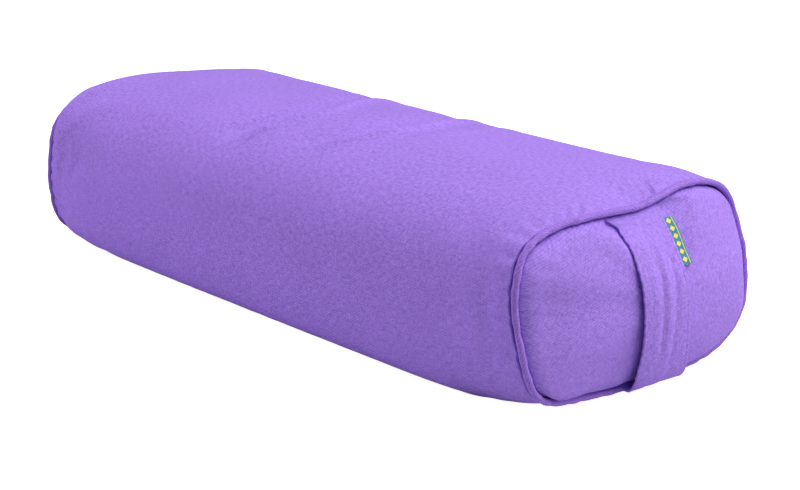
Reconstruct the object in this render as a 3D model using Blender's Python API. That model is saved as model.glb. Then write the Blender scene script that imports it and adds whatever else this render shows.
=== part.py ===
"""Rectangular yoga bolster with a zipped cotton cover, a batting filling and an end handle.

Metres, +Z up. +X runs along the bolster to the end with the handle, and +Y to the zip at the back.
The origin is on the floor, under the middle of the whole object's box.
"""

import math

import bmesh
import bpy
import numpy as np
from mathutils import Matrix, Vector

# Stuffed body, measured on the outside of the cover
SEAM_LENGTH = 0.580
BODY_WIDTH = 0.256
BODY_HEIGHT = 0.155
END_CROWN = 0.022
TAPER_LENGTH = 0.143
TOP_DROP = 0.015
FOOT_RISE = 0.008
SIDE_DRAW = 0.0015
SEAM_LEAN = 0.008
FLAT_DEPTH = 0.0005

# Roundness of the section: 2 is an ellipse, more is squarer
MIDDLE_TOP_POWER = 2.5
MIDDLE_FOOT_POWER = 6.0
SEAM_TOP_POWER = 4.4
SEAM_FOOT_POWER = 3.9
TAPER_POWER = 3.5
CROWN_EDGE_POWER = 2.2
CROWN_POWER = 2.0

# Cloth and seams
GAP = 0.0003
COVER_CLOTH = 0.0008
LINER_CLOTH = 0.0005
SLEEVE_CLOTH = 0.0005
SEAM_ALLOWANCE = 0.010
PIPING_RADIUS = 0.0029
PIPING_PROUD = 0.0015

# Carry handle and its label tab
STRAP_WIDTH = 0.050
STRAP_THICKNESS = 0.0018
STRAP_STANDOFF = 0.0065
STRAP_DENT_RUN = 0.013
LABEL_CLOTH = 0.00035
LABEL_TUCK = 0.005
LABEL_SHOWN = 0.010

# Zip, seen from behind the bolster
ZIP_DROP = 0.015
SLOT_LENGTH = 0.386
SLOT_HEIGHT = 0.012
TAPE_INNER = 0.0029
TAPE_OUTER = 0.0165
TAPE_THICKNESS = 0.0006
TAPE_OVERRUN = 0.008
TAPE_MARGIN = 0.0015
SPINE_INNER = 0.0013
TOOTH_TIP = 0.0010
TOOTH_WIDTH = 0.0018
TOOTH_PITCH = 0.005
TOOTH_THICKNESS = 0.0020
STOP_MARGIN = 0.001
TOP_STOP_LENGTH = 0.002
BOTTOM_STOP_LENGTH = 0.003
SMALL_BEVEL = 0.00015

# Slider and pull
SLIDER_LENGTH = 0.011
SLIDER_WIDTH = 0.009
SLIDER_PLATE = 0.0010
SLIDER_CORNER = 0.002
FLANGE_WIDTH = 0.001
DIAMOND_START = 0.0015
DIAMOND_LENGTH = 0.0035
TEETH_END = 0.001
BAIL_SPAN = 0.0068
BAIL_HEIGHT = 0.0030
BAIL_BAR = 0.0012
BAIL_WIDTH = 0.0020
PULL_BAR = 0.0011
PULL_THICKNESS = 0.0010
PULL_WIDTH = 0.006
PULL_WINDOW_WIDTH = 0.003
PULL_WINDOW_LENGTH = 0.0042
PULL_TAB_LENGTH = 0.021
PULL_TAB_WIDTH = 0.008
PULL_HOLE_LENGTH = 0.006
PULL_HOLE_WIDTH = 0.003
PULL_CLEARANCE = 0.00035

# Counts and shares
BATTING_LAYERS = 5
COLUMN_COUNT = 34
FINE_STEPS = 4000
CORNER_RUN = 0.040
COLUMN_MERGE_SHARE = 0.45
ROLL_STEPS = 7
CORD_SIDES = 6
TAPER_STATION_SHARES = (0.52, 0.74)
CROWN_ANGLES = (14, 30, 47, 64, 79)
STRAP_STEPS = 11
LABEL_SPAN_SHARES = (0.19, 0.42)
PULL_END_STEPS = 8
COARSE_COUNT_RATIO = 2
SHARP_DEGREES = 40

# Colours
COVER_COLOR = (0.30, 0.15, 0.72)
PIPING_COLOR = (0.26, 0.12, 0.64)
CORD_COLOR = (0.82, 0.80, 0.74)
LABEL_COLOR = (0.05, 0.30, 0.42)
TAPE_COLOR = (0.24, 0.11, 0.58)
TEETH_COLOR = (0.34, 0.18, 0.66)
METAL_COLOR = (0.62, 0.62, 0.64)
LINER_COLOR = (0.80, 0.76, 0.66)
BATTING_COLOR = (0.86, 0.83, 0.76)

# Worked out from the sizes above
WIDEST_LEVEL = BODY_HEIGHT / 2
SEAM_STATION = SEAM_LENGTH / 2
LIP_STATION = SEAM_STATION - SEAM_ALLOWANCE
ZIP_LEVEL = WIDEST_LEVEL - ZIP_DROP
FLANGE_TOP = 2 * COVER_CLOTH + 2 * GAP
FLANGE_FOOT = FLANGE_TOP + 2 * SLEEVE_CLOTH + GAP
ROLL_DEPTH = PIPING_RADIUS - PIPING_PROUD
ROLL_OFFSET = PIPING_RADIUS + GAP
ROLL_BORE = PIPING_RADIUS - SLEEVE_CLOTH
CORD_RADIUS = ROLL_BORE * math.cos(math.pi / ROLL_STEPS) - GAP
PANEL_DEPTH = ROLL_DEPTH + PIPING_RADIUS + GAP
STRAP_SEAT = STRAP_THICKNESS + GAP
STRAP_REACH = END_CROWN + STRAP_STANDOFF + STRAP_THICKNESS
LINER_DEPTH = COVER_CLOTH + GAP
LAP_GAP = 2 * GAP
LINER_SEAM_DEPTH = PANEL_DEPTH + COVER_CLOTH + LAP_GAP
LINER_LAP = LINER_CLOTH + LAP_GAP
TAPE_DEPTH = COVER_CLOTH + GAP
TEETH_DEPTH = TAPE_DEPTH + (TAPE_THICKNESS - TOOTH_THICKNESS) / 2
SLIDER_INSIDE = TEETH_DEPTH + TOOTH_THICKNESS + GAP
ZIP_DENT = SLIDER_INSIDE + SLIDER_PLATE + GAP - LINER_DEPTH
SPINE_OUTER = TAPE_INNER - GAP
PLATE_FACE = SLIDER_PLATE + GAP - TEETH_DEPTH
PULL_AXIS_HEIGHT = PLATE_FACE + PULL_CLEARANCE + math.hypot(PULL_BAR, PULL_THICKNESS) / 2
STOP_START = SLOT_LENGTH / 2 - STOP_MARGIN - TOP_STOP_LENGTH
SLIDER_REST = STOP_START - GAP - SLIDER_LENGTH / 2
BOTTOM_STOP_END = -SLOT_LENGTH / 2 + STOP_MARGIN + BOTTOM_STOP_LENGTH
SLIDER_TRAVEL = SLIDER_REST - SLIDER_LENGTH / 2 - BOTTOM_STOP_END - GAP


def mix(start, end, share):
    """The value a share of the way from start to end."""
    return start + (end - start) * share


def clamp(value):
    """The value kept between 0 and 1."""
    return min(max(value, 0.0), 1.0)


def taper(x):
    """How far the seam's shape has taken over at station x: 0 in the middle, 1 at a seam."""
    return clamp((abs(x) - SEAM_STATION + TAPER_LENGTH) / TAPER_LENGTH) ** TAPER_POWER


def half_width(x):
    return BODY_WIDTH / 2 - SIDE_DRAW * taper(x)


def half_section(x, upper):
    """Reach and roundness of the section's upper or lower half at station x."""
    pull = taper(x)
    if upper:
        reach = BODY_HEIGHT - TOP_DROP * pull - WIDEST_LEVEL
        return reach, mix(MIDDLE_TOP_POWER, SEAM_TOP_POWER, pull)
    reach = WIDEST_LEVEL + FLAT_DEPTH - FOOT_RISE * pull
    return reach, mix(MIDDLE_FOOT_POWER, SEAM_FOOT_POWER, pull)


def section(x, angle):
    """Point on the cover at station x and its outward normal in the plane across the body."""
    cosine, sine = math.cos(angle), math.sin(angle)
    width = half_width(x)
    reach, power = half_section(x, sine >= 0)
    across = math.copysign(abs(cosine) ** (2 / power), cosine)
    upward = math.copysign(abs(sine) ** (2 / power), sine)
    normal = Vector((
        0.0,
        math.copysign(abs(across) ** (power - 1) / width, across),
        math.copysign(abs(upward) ** (power - 1) / reach, upward),
    ))
    lean = math.copysign(SEAM_LEAN * taper(x), x) * upward * reach / WIDEST_LEVEL
    level = max(WIDEST_LEVEL + reach * upward, 0.0)
    return Vector((x - lean, width * across, level)), normal.normalized()


def skin(x, angle, depth=0.0):
    """Point at a depth under the cover's outside."""
    point, normal = section(x, angle)
    return point - normal * depth


def angle_at_level(level, x):
    """Angle at the back where the section at x passes a height under its widest level."""
    reach, power = half_section(x, False)
    return -math.asin(((WIDEST_LEVEL - level) / reach) ** (power / 2))


def angle_at_width(across, x, upper):
    """Angle at the back where the section at x stands that far from the middle plane."""
    angle = math.acos((across / half_width(x)) ** (half_section(x, upper)[1] / 2))
    return angle if upper else -angle


def zip_marks():
    """Angles of the two lengthwise lines that bound the flat strip with the zip."""
    low = angle_at_level(ZIP_LEVEL - TAPE_OUTER - TAPE_MARGIN, 0.0)
    return [low, angle_at_width(skin(0.0, low).y, 0.0, True)]


def strap_marks():
    """Angles of the lines where the end panel dents inwards beside the strap's two tails."""
    marks = []
    for across in (STRAP_WIDTH / 2 + GAP, STRAP_WIDTH / 2 + STRAP_DENT_RUN):
        for upper in (True, False):
            both = [angle_at_width(across, x, upper) for x in (LIP_STATION, SEAM_STATION)]
            angle = min(both, key=abs)
            marks += [angle, math.pi - angle]
    return marks


def girth_columns():
    """Angles of the lengthwise lines, closer together at the corners, and which of them are marks."""
    angles = np.linspace(0.0, 2 * math.pi, FINE_STEPS + 1)
    outline = [section(SEAM_STATION, angle) for angle in angles]
    run = [0.0]
    for (here, facing), (there, turned) in zip(outline, outline[1:]):
        run.append(run[-1] + (there - here).length + CORNER_RUN * facing.angle(turned))
    spacing = run[-1] / COLUMN_COUNT
    low, high = zip_marks()
    marks = [angle % (2 * math.pi) for angle in [low, high] + strap_marks()]
    taken = np.interp(marks, angles, run)
    kept = []
    for step in range(COLUMN_COUNT):
        apart = np.abs(taken - step * spacing)
        apart = np.minimum(apart, run[-1] - apart).min()
        angle = float(np.interp(step * spacing, run, angles))
        on_zip_strip = angle < high or angle > low + 2 * math.pi
        if apart > spacing * COLUMN_MERGE_SHARE and not on_zip_strip:
            kept.append(angle)
    coarse = set(marks) | set(kept[::COARSE_COUNT_RATIO])
    return sorted(marks + kept), sorted(coarse)


COLUMNS, COARSE_COLUMNS = girth_columns()
ZIP_COLUMNS = [angle % (2 * math.pi) for angle in zip_marks()]
ZIP_FACE = skin(0.0, ZIP_COLUMNS[0]).y


def half_stations():
    """Stations of one half of the body, from the middle to the seam."""
    start = SEAM_STATION - TAPER_LENGTH
    bends = [start + TAPER_LENGTH * share for share in TAPER_STATION_SHARES]
    return sorted([start, SLOT_LENGTH / 2, *bends, LIP_STATION, SEAM_STATION])


def seam_dent(x, angle):
    """How much deeper the handle end's layers lie at station x, to make room for the strap's tails.

    The tails run on level from the seam, so that the strap can be drawn straight out.
    """
    if x < 0:
        return 0.0
    across = min(abs(section(place, angle)[0].y) for place in (LIP_STATION, SEAM_STATION))
    run = STRAP_DENT_RUN - GAP
    rise = abs(section(x, angle)[0].z - section(SEAM_STATION, angle)[0].z)
    return (STRAP_SEAT + rise) * clamp((STRAP_WIDTH / 2 + STRAP_DENT_RUN - across) / run)


def ring(x, depth, columns):
    """One row of points round the body at a depth."""
    return [skin(x, angle, depth) for angle in columns]


def cap_rows(end, columns):
    """Outer face of an end panel: a lip inside the seam, then the crown, without its middle point."""
    rows = [
        [skin(end * x, angle, PANEL_DEPTH + seam_dent(end * x, angle)) for angle in columns]
        for x in (LIP_STATION, SEAM_STATION)
    ]
    seam = rows[-1]
    middle = Vector((end * SEAM_STATION, 0.0, WIDEST_LEVEL))
    for degrees in CROWN_ANGLES:
        rows.append([crown_point(end, middle, point, END_CROWN, degrees) for point in seam])
    return rows, middle + Vector((end * END_CROWN, 0.0, 0.0))


def crown_point(end, middle, edge, crown, degrees):
    """Point of a crown of the given height over the line from the seam's edge to the middle."""
    angle = math.radians(degrees)
    inwards = math.cos(angle) ** (2 / CROWN_EDGE_POWER)
    out = crown * math.sin(angle) ** (2 / CROWN_POWER)
    return middle + (edge - middle) * inwards + Vector((end * out, 0.0, 0.0))


def sunk(rows, pole, depths):
    """The rows of a cap moved inwards along its normals, a depth for each row."""
    grid = np.array([[tuple(point) for point in row] for row in rows] + [[tuple(pole)] * len(rows[0])])
    along = np.gradient(grid, axis=0)
    around = np.roll(grid, -1, axis=1) - np.roll(grid, 1, axis=1)
    normals = np.cross(around[:-1], along[:-1])
    normals /= np.linalg.norm(normals, axis=2)[:, :, None]
    end = math.copysign(1.0, pole.x)
    normals *= np.sign(normals[len(rows) - 1, 0, 0]) * end
    moved = grid[:-1] - normals * np.array(depths)[:, None, None]
    lowered = pole - Vector((end * depths[-1], 0.0, 0.0))
    return [[Vector(point) for point in row] for row in moved], lowered


def face_outwards(bm, middle):
    """Turns every face away from a point inside."""
    bmesh.ops.recalc_face_normals(bm, faces=bm.faces)
    bm.normal_update()
    far = max(bm.faces, key=lambda face: (face.calc_center_median() - middle).length)
    if far.normal.dot(far.calc_center_median() - middle) < 0:
        bmesh.ops.reverse_faces(bm, faces=bm.faces)


def join_rows(bm, rows, around=True, closed=False):
    """Faces between neighbouring rows of points, and back from the last row when closed.

    Every diagonal starts on the row nearer the middle of the body, so that nested cloths stay parallel.
    """
    rings = [[bm.verts.new(point) for point in row] for row in rows]
    pairs = list(zip(rings, rings[1:]))
    if closed:
        pairs.append((rings[-1], rings[0]))
    count = len(rows[0])
    for inner, outer in pairs:
        if abs(inner[0].co.x) > abs(outer[0].co.x):
            inner, outer = outer, inner
        for i in range(count if around else count - 1):
            j = (i + 1) % count
            bm.faces.new((inner[i], inner[j], outer[j]))
            bm.faces.new((inner[i], outer[j], outer[i]))
    return rings


def close_to_point(bm, loop, point):
    """Triangles from a closed loop of vertices to one point."""
    tip = bm.verts.new(point)
    for i, vertex in enumerate(loop):
        bm.faces.new((vertex, loop[(i + 1) % len(loop)], tip))


def material(name, color, roughness, metallic=0.0):
    made = bpy.data.materials.new(name)
    made.use_nodes = True
    shader = made.node_tree.nodes["Principled BSDF"]
    shader.inputs["Base Color"].default_value = (*color, 1.0)
    shader.inputs["Roughness"].default_value = roughness
    shader.inputs["Metallic"].default_value = metallic
    return made


def add_object(name, bm, color, roughness=0.85, metallic=0.0, smooth=False):
    """Turns the mesh into a named object with its own material."""
    mesh = bpy.data.meshes.new(name)
    bm.to_mesh(mesh)
    bm.free()
    if smooth:
        mesh.shade_smooth()
        mesh.set_sharp_from_angle(angle=math.radians(SHARP_DEGREES))
    mesh.materials.append(material(name, color, roughness, metallic))
    made = bpy.data.objects.new(name, mesh)
    bpy.context.scene.collection.objects.link(made)
    return made


def add_wall(made, thickness):
    """Gives an open skin its cloth thickness, inwards from its outer face."""
    wall = made.modifiers.new("cloth", "SOLIDIFY")
    wall.thickness = thickness
    wall.offset = -1.0
    wall.use_even_offset = True
    wall.use_rim = True
    return made


def cut_with(made, cutter):
    """Cuts a hidden guide's shape out of an object."""
    cutter.hide_render = True
    cutter.display_type = "WIRE"
    cut = made.modifiers.new("cut", "BOOLEAN")
    cut.operation = "DIFFERENCE"
    cut.solver = "EXACT"
    cut.object = cutter


def box(low, high):
    """Box between two corners."""
    size = Vector(high) - Vector(low)
    place = Matrix.Translation((Vector(low) + Vector(high)) / 2) @ Matrix.Diagonal((*size, 1.0))
    bm = bmesh.new()
    bmesh.ops.create_cube(bm, size=1.0, matrix=place)
    return bm


def extrude_outline(outline, start, rise):
    """Closed solid from an outline of points: each point moved by start, then carried by rise."""
    bm = bmesh.new()
    face = bm.faces.new([bm.verts.new(Vector(point) + Vector(start)) for point in outline])
    grown = bmesh.ops.extrude_face_region(bm, geom=[face])
    top = [part for part in grown["geom"] if isinstance(part, bmesh.types.BMVert)]
    bmesh.ops.translate(bm, verts=top, vec=Vector(rise))
    bmesh.ops.recalc_face_normals(bm, faces=bm.faces)
    return bm


def cover_body_panel():
    """The wrap round the body, turned in at both seams, with a slot for the zip."""
    half = half_stations()
    stations = [-x for x in reversed(half)] + half
    fold = SEAM_STATION - COVER_CLOTH
    lip_top, lip_foot = COVER_CLOTH + GAP, 2 * COVER_CLOTH + GAP
    turn = [
        (SEAM_STATION, lip_foot), (LIP_STATION, lip_foot), (LIP_STATION, lip_top), (fold, lip_top),
    ]
    profile = [(x, 0.0) for x in stations] + turn
    profile += [(max(min(x, fold), -fold), COVER_CLOTH) for x in reversed(stations)]
    profile += [(-x, depth) for x, depth in reversed(turn)]
    bm = bmesh.new()
    join_rows(bm, [ring(x, depth, COLUMNS) for x, depth in profile], closed=True)
    bmesh.ops.recalc_face_normals(bm, faces=bm.faces)
    panel = add_object("cover_body_panel", bm, COVER_COLOR, smooth=True)
    half_slot, reach = SLOT_LENGTH / 2, SLOT_HEIGHT / 2
    low = (-half_slot, ZIP_FACE - reach, ZIP_LEVEL - reach)
    high = (half_slot, ZIP_FACE + reach, ZIP_LEVEL + reach)
    cut_with(panel, add_object("slot_guide", box(low, high), COVER_COLOR))
    return panel


def end_panel(name, end):
    rows, pole = cap_rows(end, COLUMNS)
    bm = bmesh.new()
    rings = join_rows(bm, rows)
    close_to_point(bm, rings[-1], pole)
    face_outwards(bm, Vector((0.0, 0.0, WIDEST_LEVEL)))
    return add_wall(add_object(name, bm, COVER_COLOR, smooth=True), COVER_CLOTH)


def roll_arc(radius, top, foot, steps):
    """Points of the piping's round, from its top flange over the outside to its lower flange."""
    start = math.asin((ROLL_DEPTH - top) / radius)
    stop = 2 * math.pi + math.asin((ROLL_DEPTH - foot) / radius)
    for step in range(steps + 1):
        angle = mix(start, stop, step / steps)
        yield ROLL_OFFSET - radius * math.cos(angle), ROLL_DEPTH - radius * math.sin(angle)


def piping_sleeve(name, end):
    """Bias strip folded round the cord, its two flanges together in the seam."""
    outside = list(roll_arc(PIPING_RADIUS, FLANGE_TOP, FLANGE_FOOT, ROLL_STEPS))
    slit_top, slit_foot = FLANGE_TOP + SLEEVE_CLOTH, FLANGE_FOOT - SLEEVE_CLOTH
    inside = list(roll_arc(ROLL_BORE, slit_top, slit_foot, ROLL_STEPS))
    profile = [(-SEAM_ALLOWANCE, FLANGE_TOP), *outside, (-SEAM_ALLOWANCE, FLANGE_FOOT)]
    profile += [(-SEAM_ALLOWANCE, slit_foot), *reversed(inside), (-SEAM_ALLOWANCE, slit_top)]
    return swept_seam(name, end, profile, PIPING_COLOR)


def piping_cord(name, end):
    profile = []
    for side in range(CORD_SIDES):
        angle = 2 * math.pi * side / CORD_SIDES
        profile.append((
            ROLL_OFFSET + CORD_RADIUS * math.cos(angle),
            ROLL_DEPTH + CORD_RADIUS * math.sin(angle),
        ))
    return swept_seam(name, end, profile, CORD_COLOR)


def swept_seam(name, end, profile, color):
    """A closed profile of steps past the seam and depths, carried round an end seam."""
    rows = [ring(end * (SEAM_STATION + out), depth, COLUMNS) for out, depth in profile]
    bm = bmesh.new()
    join_rows(bm, rows, closed=True)
    bmesh.ops.recalc_face_normals(bm, faces=bm.faces)
    return add_object(name, bm, color, smooth=True)


def strap_line(steps, depth):
    """Line of the strap's outer face in the middle plane, moved inwards by a depth."""
    middle = Vector((SEAM_STATION, 0.0, WIDEST_LEVEL))
    points = []
    for angle in (math.pi / 2, -math.pi / 2):
        edge = skin(SEAM_STATION, angle, PANEL_DEPTH)
        tail = Vector((skin(LIP_STATION, angle).x, 0.0, edge.z))
        arc = [
            crown_point(1, middle, edge, STRAP_REACH, 90 * step / steps) for step in range(steps + 1)
        ]
        points.append([tail, *arc])
    line = points[0] + points[1][-2::-1]
    grid = np.array([(point.x, point.z) for point in line])
    run = np.gradient(grid, axis=0)
    run /= np.linalg.norm(run, axis=1)[:, None]
    grid[:, 0] += run[:, 1] * depth
    grid[:, 1] -= run[:, 0] * depth
    return [Vector((x, 0.0, z)) for x, z in grid]


def ribbon(line, sides):
    """Rows of points across a strap, one row for each point of its line."""
    return [[point + Vector((0.0, across, 0.0)) for across in sides] for point in line]


def carry_handle():
    """Flat strap over the end panel, its two tails sewn into the top and the foot of the seam."""
    bm = bmesh.new()
    sides = (-STRAP_WIDTH / 2, STRAP_WIDTH / 2)
    join_rows(bm, ribbon(strap_line(STRAP_STEPS, 0.0), sides), around=False)
    face_outwards(bm, Vector((0.0, 0.0, WIDEST_LEVEL)))
    return add_wall(add_object("carry_handle", bm, COVER_COLOR, smooth=True), STRAP_THICKNESS)


def label_tab():
    """Short ribbon folded double, its cut edges behind the strap and its fold standing out."""
    front = strap_line(STRAP_STEPS * 2, STRAP_THICKNESS + GAP)
    back = strap_line(STRAP_STEPS * 2, STRAP_THICKNESS + 2 * GAP + 2 * LABEL_CLOTH)
    first, last = (round(share * (len(front) - 1)) for share in LABEL_SPAN_SHARES)
    inner, fold = STRAP_WIDTH / 2 - LABEL_TUCK, STRAP_WIDTH / 2 + LABEL_SHOWN
    rows = []
    for near, far in zip(front[first:last + 1], back[first:last + 1]):
        rows.append([
            near + Vector((0.0, inner, 0.0)),
            near + Vector((0.0, fold, 0.0)),
            far + Vector((0.0, fold, 0.0)),
            far + Vector((0.0, inner, 0.0)),
        ])
    bm = bmesh.new()
    join_rows(bm, rows, around=False)
    bmesh.ops.recalc_face_normals(bm, faces=bm.faces)
    bm.normal_update()
    bm.faces.ensure_lookup_table()
    shown = bm.faces[0]
    if shown.normal.x < 0:
        bmesh.ops.reverse_faces(bm, faces=bm.faces)
    return add_wall(add_object("label_tab", bm, LABEL_COLOR), LABEL_CLOTH)


def back_y(depth):
    """Place across the body of what lies at a depth under the cover at the zip."""
    return ZIP_FACE - depth


def zip_tape(name, side):
    low, high = sorted((ZIP_LEVEL + side * TAPE_INNER, ZIP_LEVEL + side * TAPE_OUTER))
    reach = SLOT_LENGTH / 2 + TAPE_OVERRUN
    tape = box((-reach, back_y(TAPE_DEPTH + TAPE_THICKNESS), low), (reach, back_y(TAPE_DEPTH), high))
    return add_object(name, tape, TAPE_COLOR)


def zip_teeth(name, side):
    """One row of teeth on its spine, in mesh with the other row."""
    start, stop = BOTTOM_STOP_END + GAP, SLIDER_REST + TEETH_END
    outline = [(stop, side * SPINE_OUTER), (start, side * SPINE_OUTER), (start, side * SPINE_INNER)]
    phase = TOOTH_WIDTH if side > 0 else TOOTH_WIDTH + TOOTH_PITCH / 2
    count = int((stop - start - phase) / TOOTH_PITCH)
    for tooth in range(count):
        middle = start + phase + tooth * TOOTH_PITCH
        left, right = middle - TOOTH_WIDTH / 2, middle + TOOTH_WIDTH / 2
        outline += [(left, side * SPINE_INNER), (left, -side * TOOTH_TIP)]
        outline += [(right, -side * TOOTH_TIP), (right, side * SPINE_INNER)]
    outline.append((stop, side * SPINE_INNER))
    bm = extrude_outline(
        [(x, 0.0, level) for x, level in outline],
        (0.0, back_y(TEETH_DEPTH + TOOTH_THICKNESS), ZIP_LEVEL),
        (0.0, TOOTH_THICKNESS, 0.0),
    )
    return add_object(name, bm, TEETH_COLOR, 0.5)


def zip_stop(name, ends, levels):
    """Small metal block on the tapes' edges that ends the slider's travel."""
    low, high = sorted(levels)
    bm = box(
        (ends[0], back_y(TEETH_DEPTH + TOOTH_THICKNESS), ZIP_LEVEL + low),
        (ends[1], back_y(TEETH_DEPTH), ZIP_LEVEL + high),
    )
    bmesh.ops.bevel(bm, geom=bm.edges[:], offset=SMALL_BEVEL, segments=1, affect="EDGES")
    return add_object(name, bm, METAL_COLOR, 0.35, 1.0)


def plate_outline():
    """Outline of the slider's plates: square at its throat, chamfered at its mouth."""
    length, width = SLIDER_LENGTH / 2, SLIDER_WIDTH / 2
    return [
        (-length, -width), (length - SLIDER_CORNER, -width), (length, SLIDER_CORNER - width),
        (length, width - SLIDER_CORNER), (length - SLIDER_CORNER, width), (-length, width),
    ]


def union_of(name, meshes, color, roughness, metallic):
    """One object that joins overlapping closed meshes."""
    made = add_object(name, meshes[0], color, roughness, metallic)
    for number, bm in enumerate(meshes[1:]):
        part = add_object(f"{name}_guide_{number}", bm, color, roughness, metallic)
        part.hide_render = True
        part.display_type = "WIRE"
        join = made.modifiers.new("join", "BOOLEAN")
        join.operation = "UNION"
        join.solver = "EXACT"
        join.object = part
    return made


def zip_slider():
    """Two plates joined by the diamond at the mouth, with lips beside the tapes and a bail on top."""
    shift = Vector((SLIDER_REST, ZIP_FACE, ZIP_LEVEL))
    outline = [(x, 0.0, level) for x, level in plate_outline()]
    plate = Vector((0.0, SLIDER_PLATE, 0.0))
    outer = extrude_outline(outline, shift + Vector((0.0, PLATE_FACE - SLIDER_PLATE, 0.0)), plate)
    inner = extrude_outline(outline, shift - Vector((0.0, SLIDER_INSIDE + SLIDER_PLATE, 0.0)), plate)
    diamond_end = DIAMOND_START + DIAMOND_LENGTH
    diamond = [
        (DIAMOND_START, 0.0, 0.0), (diamond_end - TOOTH_TIP, 0.0, -TOOTH_TIP),
        (diamond_end, 0.0, 0.0), (diamond_end - TOOTH_TIP, 0.0, TOOTH_TIP),
    ]
    sink = SLIDER_PLATE / 2
    post = extrude_outline(
        diamond,
        shift - Vector((0.0, SLIDER_INSIDE + sink, 0.0)),
        (0.0, SLIDER_INSIDE + PLATE_FACE - SLIDER_PLATE + 2 * sink, 0.0),
    )
    meshes = [outer, inner, post]
    throat = SMALL_BEVEL - SLIDER_LENGTH / 2
    mouth = SLIDER_LENGTH / 2 - SLIDER_CORNER - SMALL_BEVEL
    lip_inner, lip_outer = SLIDER_WIDTH / 2 - FLANGE_WIDTH, SLIDER_WIDTH / 2 - SMALL_BEVEL
    lip_depths = (
        (sink - PLATE_FACE, TAPE_DEPTH - GAP),
        (TAPE_DEPTH + TAPE_THICKNESS + GAP, SLIDER_INSIDE + sink),
    )
    for side in (-1, 1):
        low, high = sorted((side * lip_inner, side * lip_outer))
        for near, deep in lip_depths:
            start = shift + Vector((throat, -deep, low))
            meshes.append(box(start, shift + Vector((mouth, -near, high))))
    meshes.append(bail(shift))
    return union_of("zip_slider", meshes, METAL_COLOR, 0.35, 1.0)


def bail(shift):
    """Arch on the outer plate that holds the pull's bar."""
    span, foot = BAIL_SPAN / 2, PLATE_FACE - SLIDER_PLATE / 2
    top = PLATE_FACE + BAIL_HEIGHT
    hollow = span - BAIL_BAR
    ceiling = top - BAIL_BAR
    outline = [
        (-span, foot), (-span, top - BAIL_BAR), (BAIL_BAR - span, top), (span - BAIL_BAR, top),
        (span, top - BAIL_BAR), (span, foot), (hollow, foot), (hollow, ceiling), (-hollow, ceiling),
        (-hollow, foot),
    ]
    return extrude_outline(
        [(x, out, -BAIL_WIDTH / 2) for x, out in outline], shift, (0.0, 0.0, BAIL_WIDTH)
    )


def zip_pull():
    """Tab with a window for the bail, flat against the zip at rest."""
    half, tab = PULL_WIDTH / 2, PULL_TAB_WIDTH / 2
    neck = -PULL_BAR / 2 - PULL_WINDOW_LENGTH
    end = neck - PULL_TAB_LENGTH + tab
    outline = [(PULL_BAR / 2, half), (PULL_BAR / 2, -half), (neck, -half)]
    for step in range(PULL_END_STEPS + 1):
        angle = math.pi * step / PULL_END_STEPS
        outline.append((end - tab * math.sin(angle), -tab * math.cos(angle)))
    outline.append((neck, half))
    axis = pull_axis()
    low = Vector((0.0, -PULL_THICKNESS / 2, 0.0))
    rise = Vector((0.0, PULL_THICKNESS, 0.0))
    plate = extrude_outline([(x, 0.0, level) for x, level in outline], axis + low, rise)
    pull = add_object("zip_pull", plate, METAL_COLOR, 0.35, 1.0)
    window, slit = PULL_WINDOW_WIDTH / 2, PULL_HOLE_WIDTH / 2
    holes = [
        ((neck, -PULL_THICKNESS, -window), (-PULL_BAR / 2, PULL_THICKNESS, window)),
        ((end, -PULL_THICKNESS, -slit), (end + PULL_HOLE_LENGTH, PULL_THICKNESS, slit)),
    ]
    for number, (start, stop) in enumerate(holes):
        hole = box(axis + Vector(start), axis + Vector(stop))
        cut_with(pull, add_object(f"zip_pull_guide_{number}", hole, METAL_COLOR))
    return pull


def pull_axis():
    """Middle of the pull's bar, where it turns in the bail."""
    return Vector((SLIDER_REST, ZIP_FACE + PULL_AXIS_HEIGHT, ZIP_LEVEL))


def liner_depth(x, angle):
    """Depth of the liner's outside: under the cover, deeper behind the zip and under the seams."""
    if abs(x) >= LIP_STATION:
        return LINER_SEAM_DEPTH + seam_dent(x, angle)
    if abs(x) <= SLOT_LENGTH / 2 and angle in ZIP_COLUMNS:
        return LINER_DEPTH + ZIP_DENT
    return LINER_DEPTH


def liner_body():
    """Tube of plain calico inside the cover, open where the liner's ends lap into it."""
    half = half_stations()
    half[-1] -= GAP
    stations = [-x for x in reversed(half)] + half
    rows = [[skin(x, a, liner_depth(x, a)) for a in COARSE_COLUMNS] for x in stations]
    rows += [
        [skin(x, a, liner_depth(x, a) + LINER_CLOTH) for a in COARSE_COLUMNS]
        for x in reversed(stations)
    ]
    bm = bmesh.new()
    join_rows(bm, rows, closed=True)
    bmesh.ops.recalc_face_normals(bm, faces=bm.faces)
    return add_object("liner_body", bm, LINER_COLOR, smooth=True)


def liner_cap(end, extra):
    """Cap under an end panel: its lip laps inside the liner's tube, its crown lines the panel."""
    rows, pole = cap_rows(end, COARSE_COLUMNS)
    crown = COVER_CLOTH + GAP + extra
    depths = [crown + LINER_LAP] * 2 + [crown] * (len(rows) - 2)
    return sunk(rows, pole, depths)


def liner_end(name, end):
    rows, pole = liner_cap(end, 0.0)
    bm = bmesh.new()
    rings = join_rows(bm, rows)
    close_to_point(bm, rings[-1], pole)
    face_outwards(bm, Vector((0.0, 0.0, WIDEST_LEVEL)))
    return add_wall(add_object(name, bm, LINER_COLOR, smooth=True), LINER_CLOTH)


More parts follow.
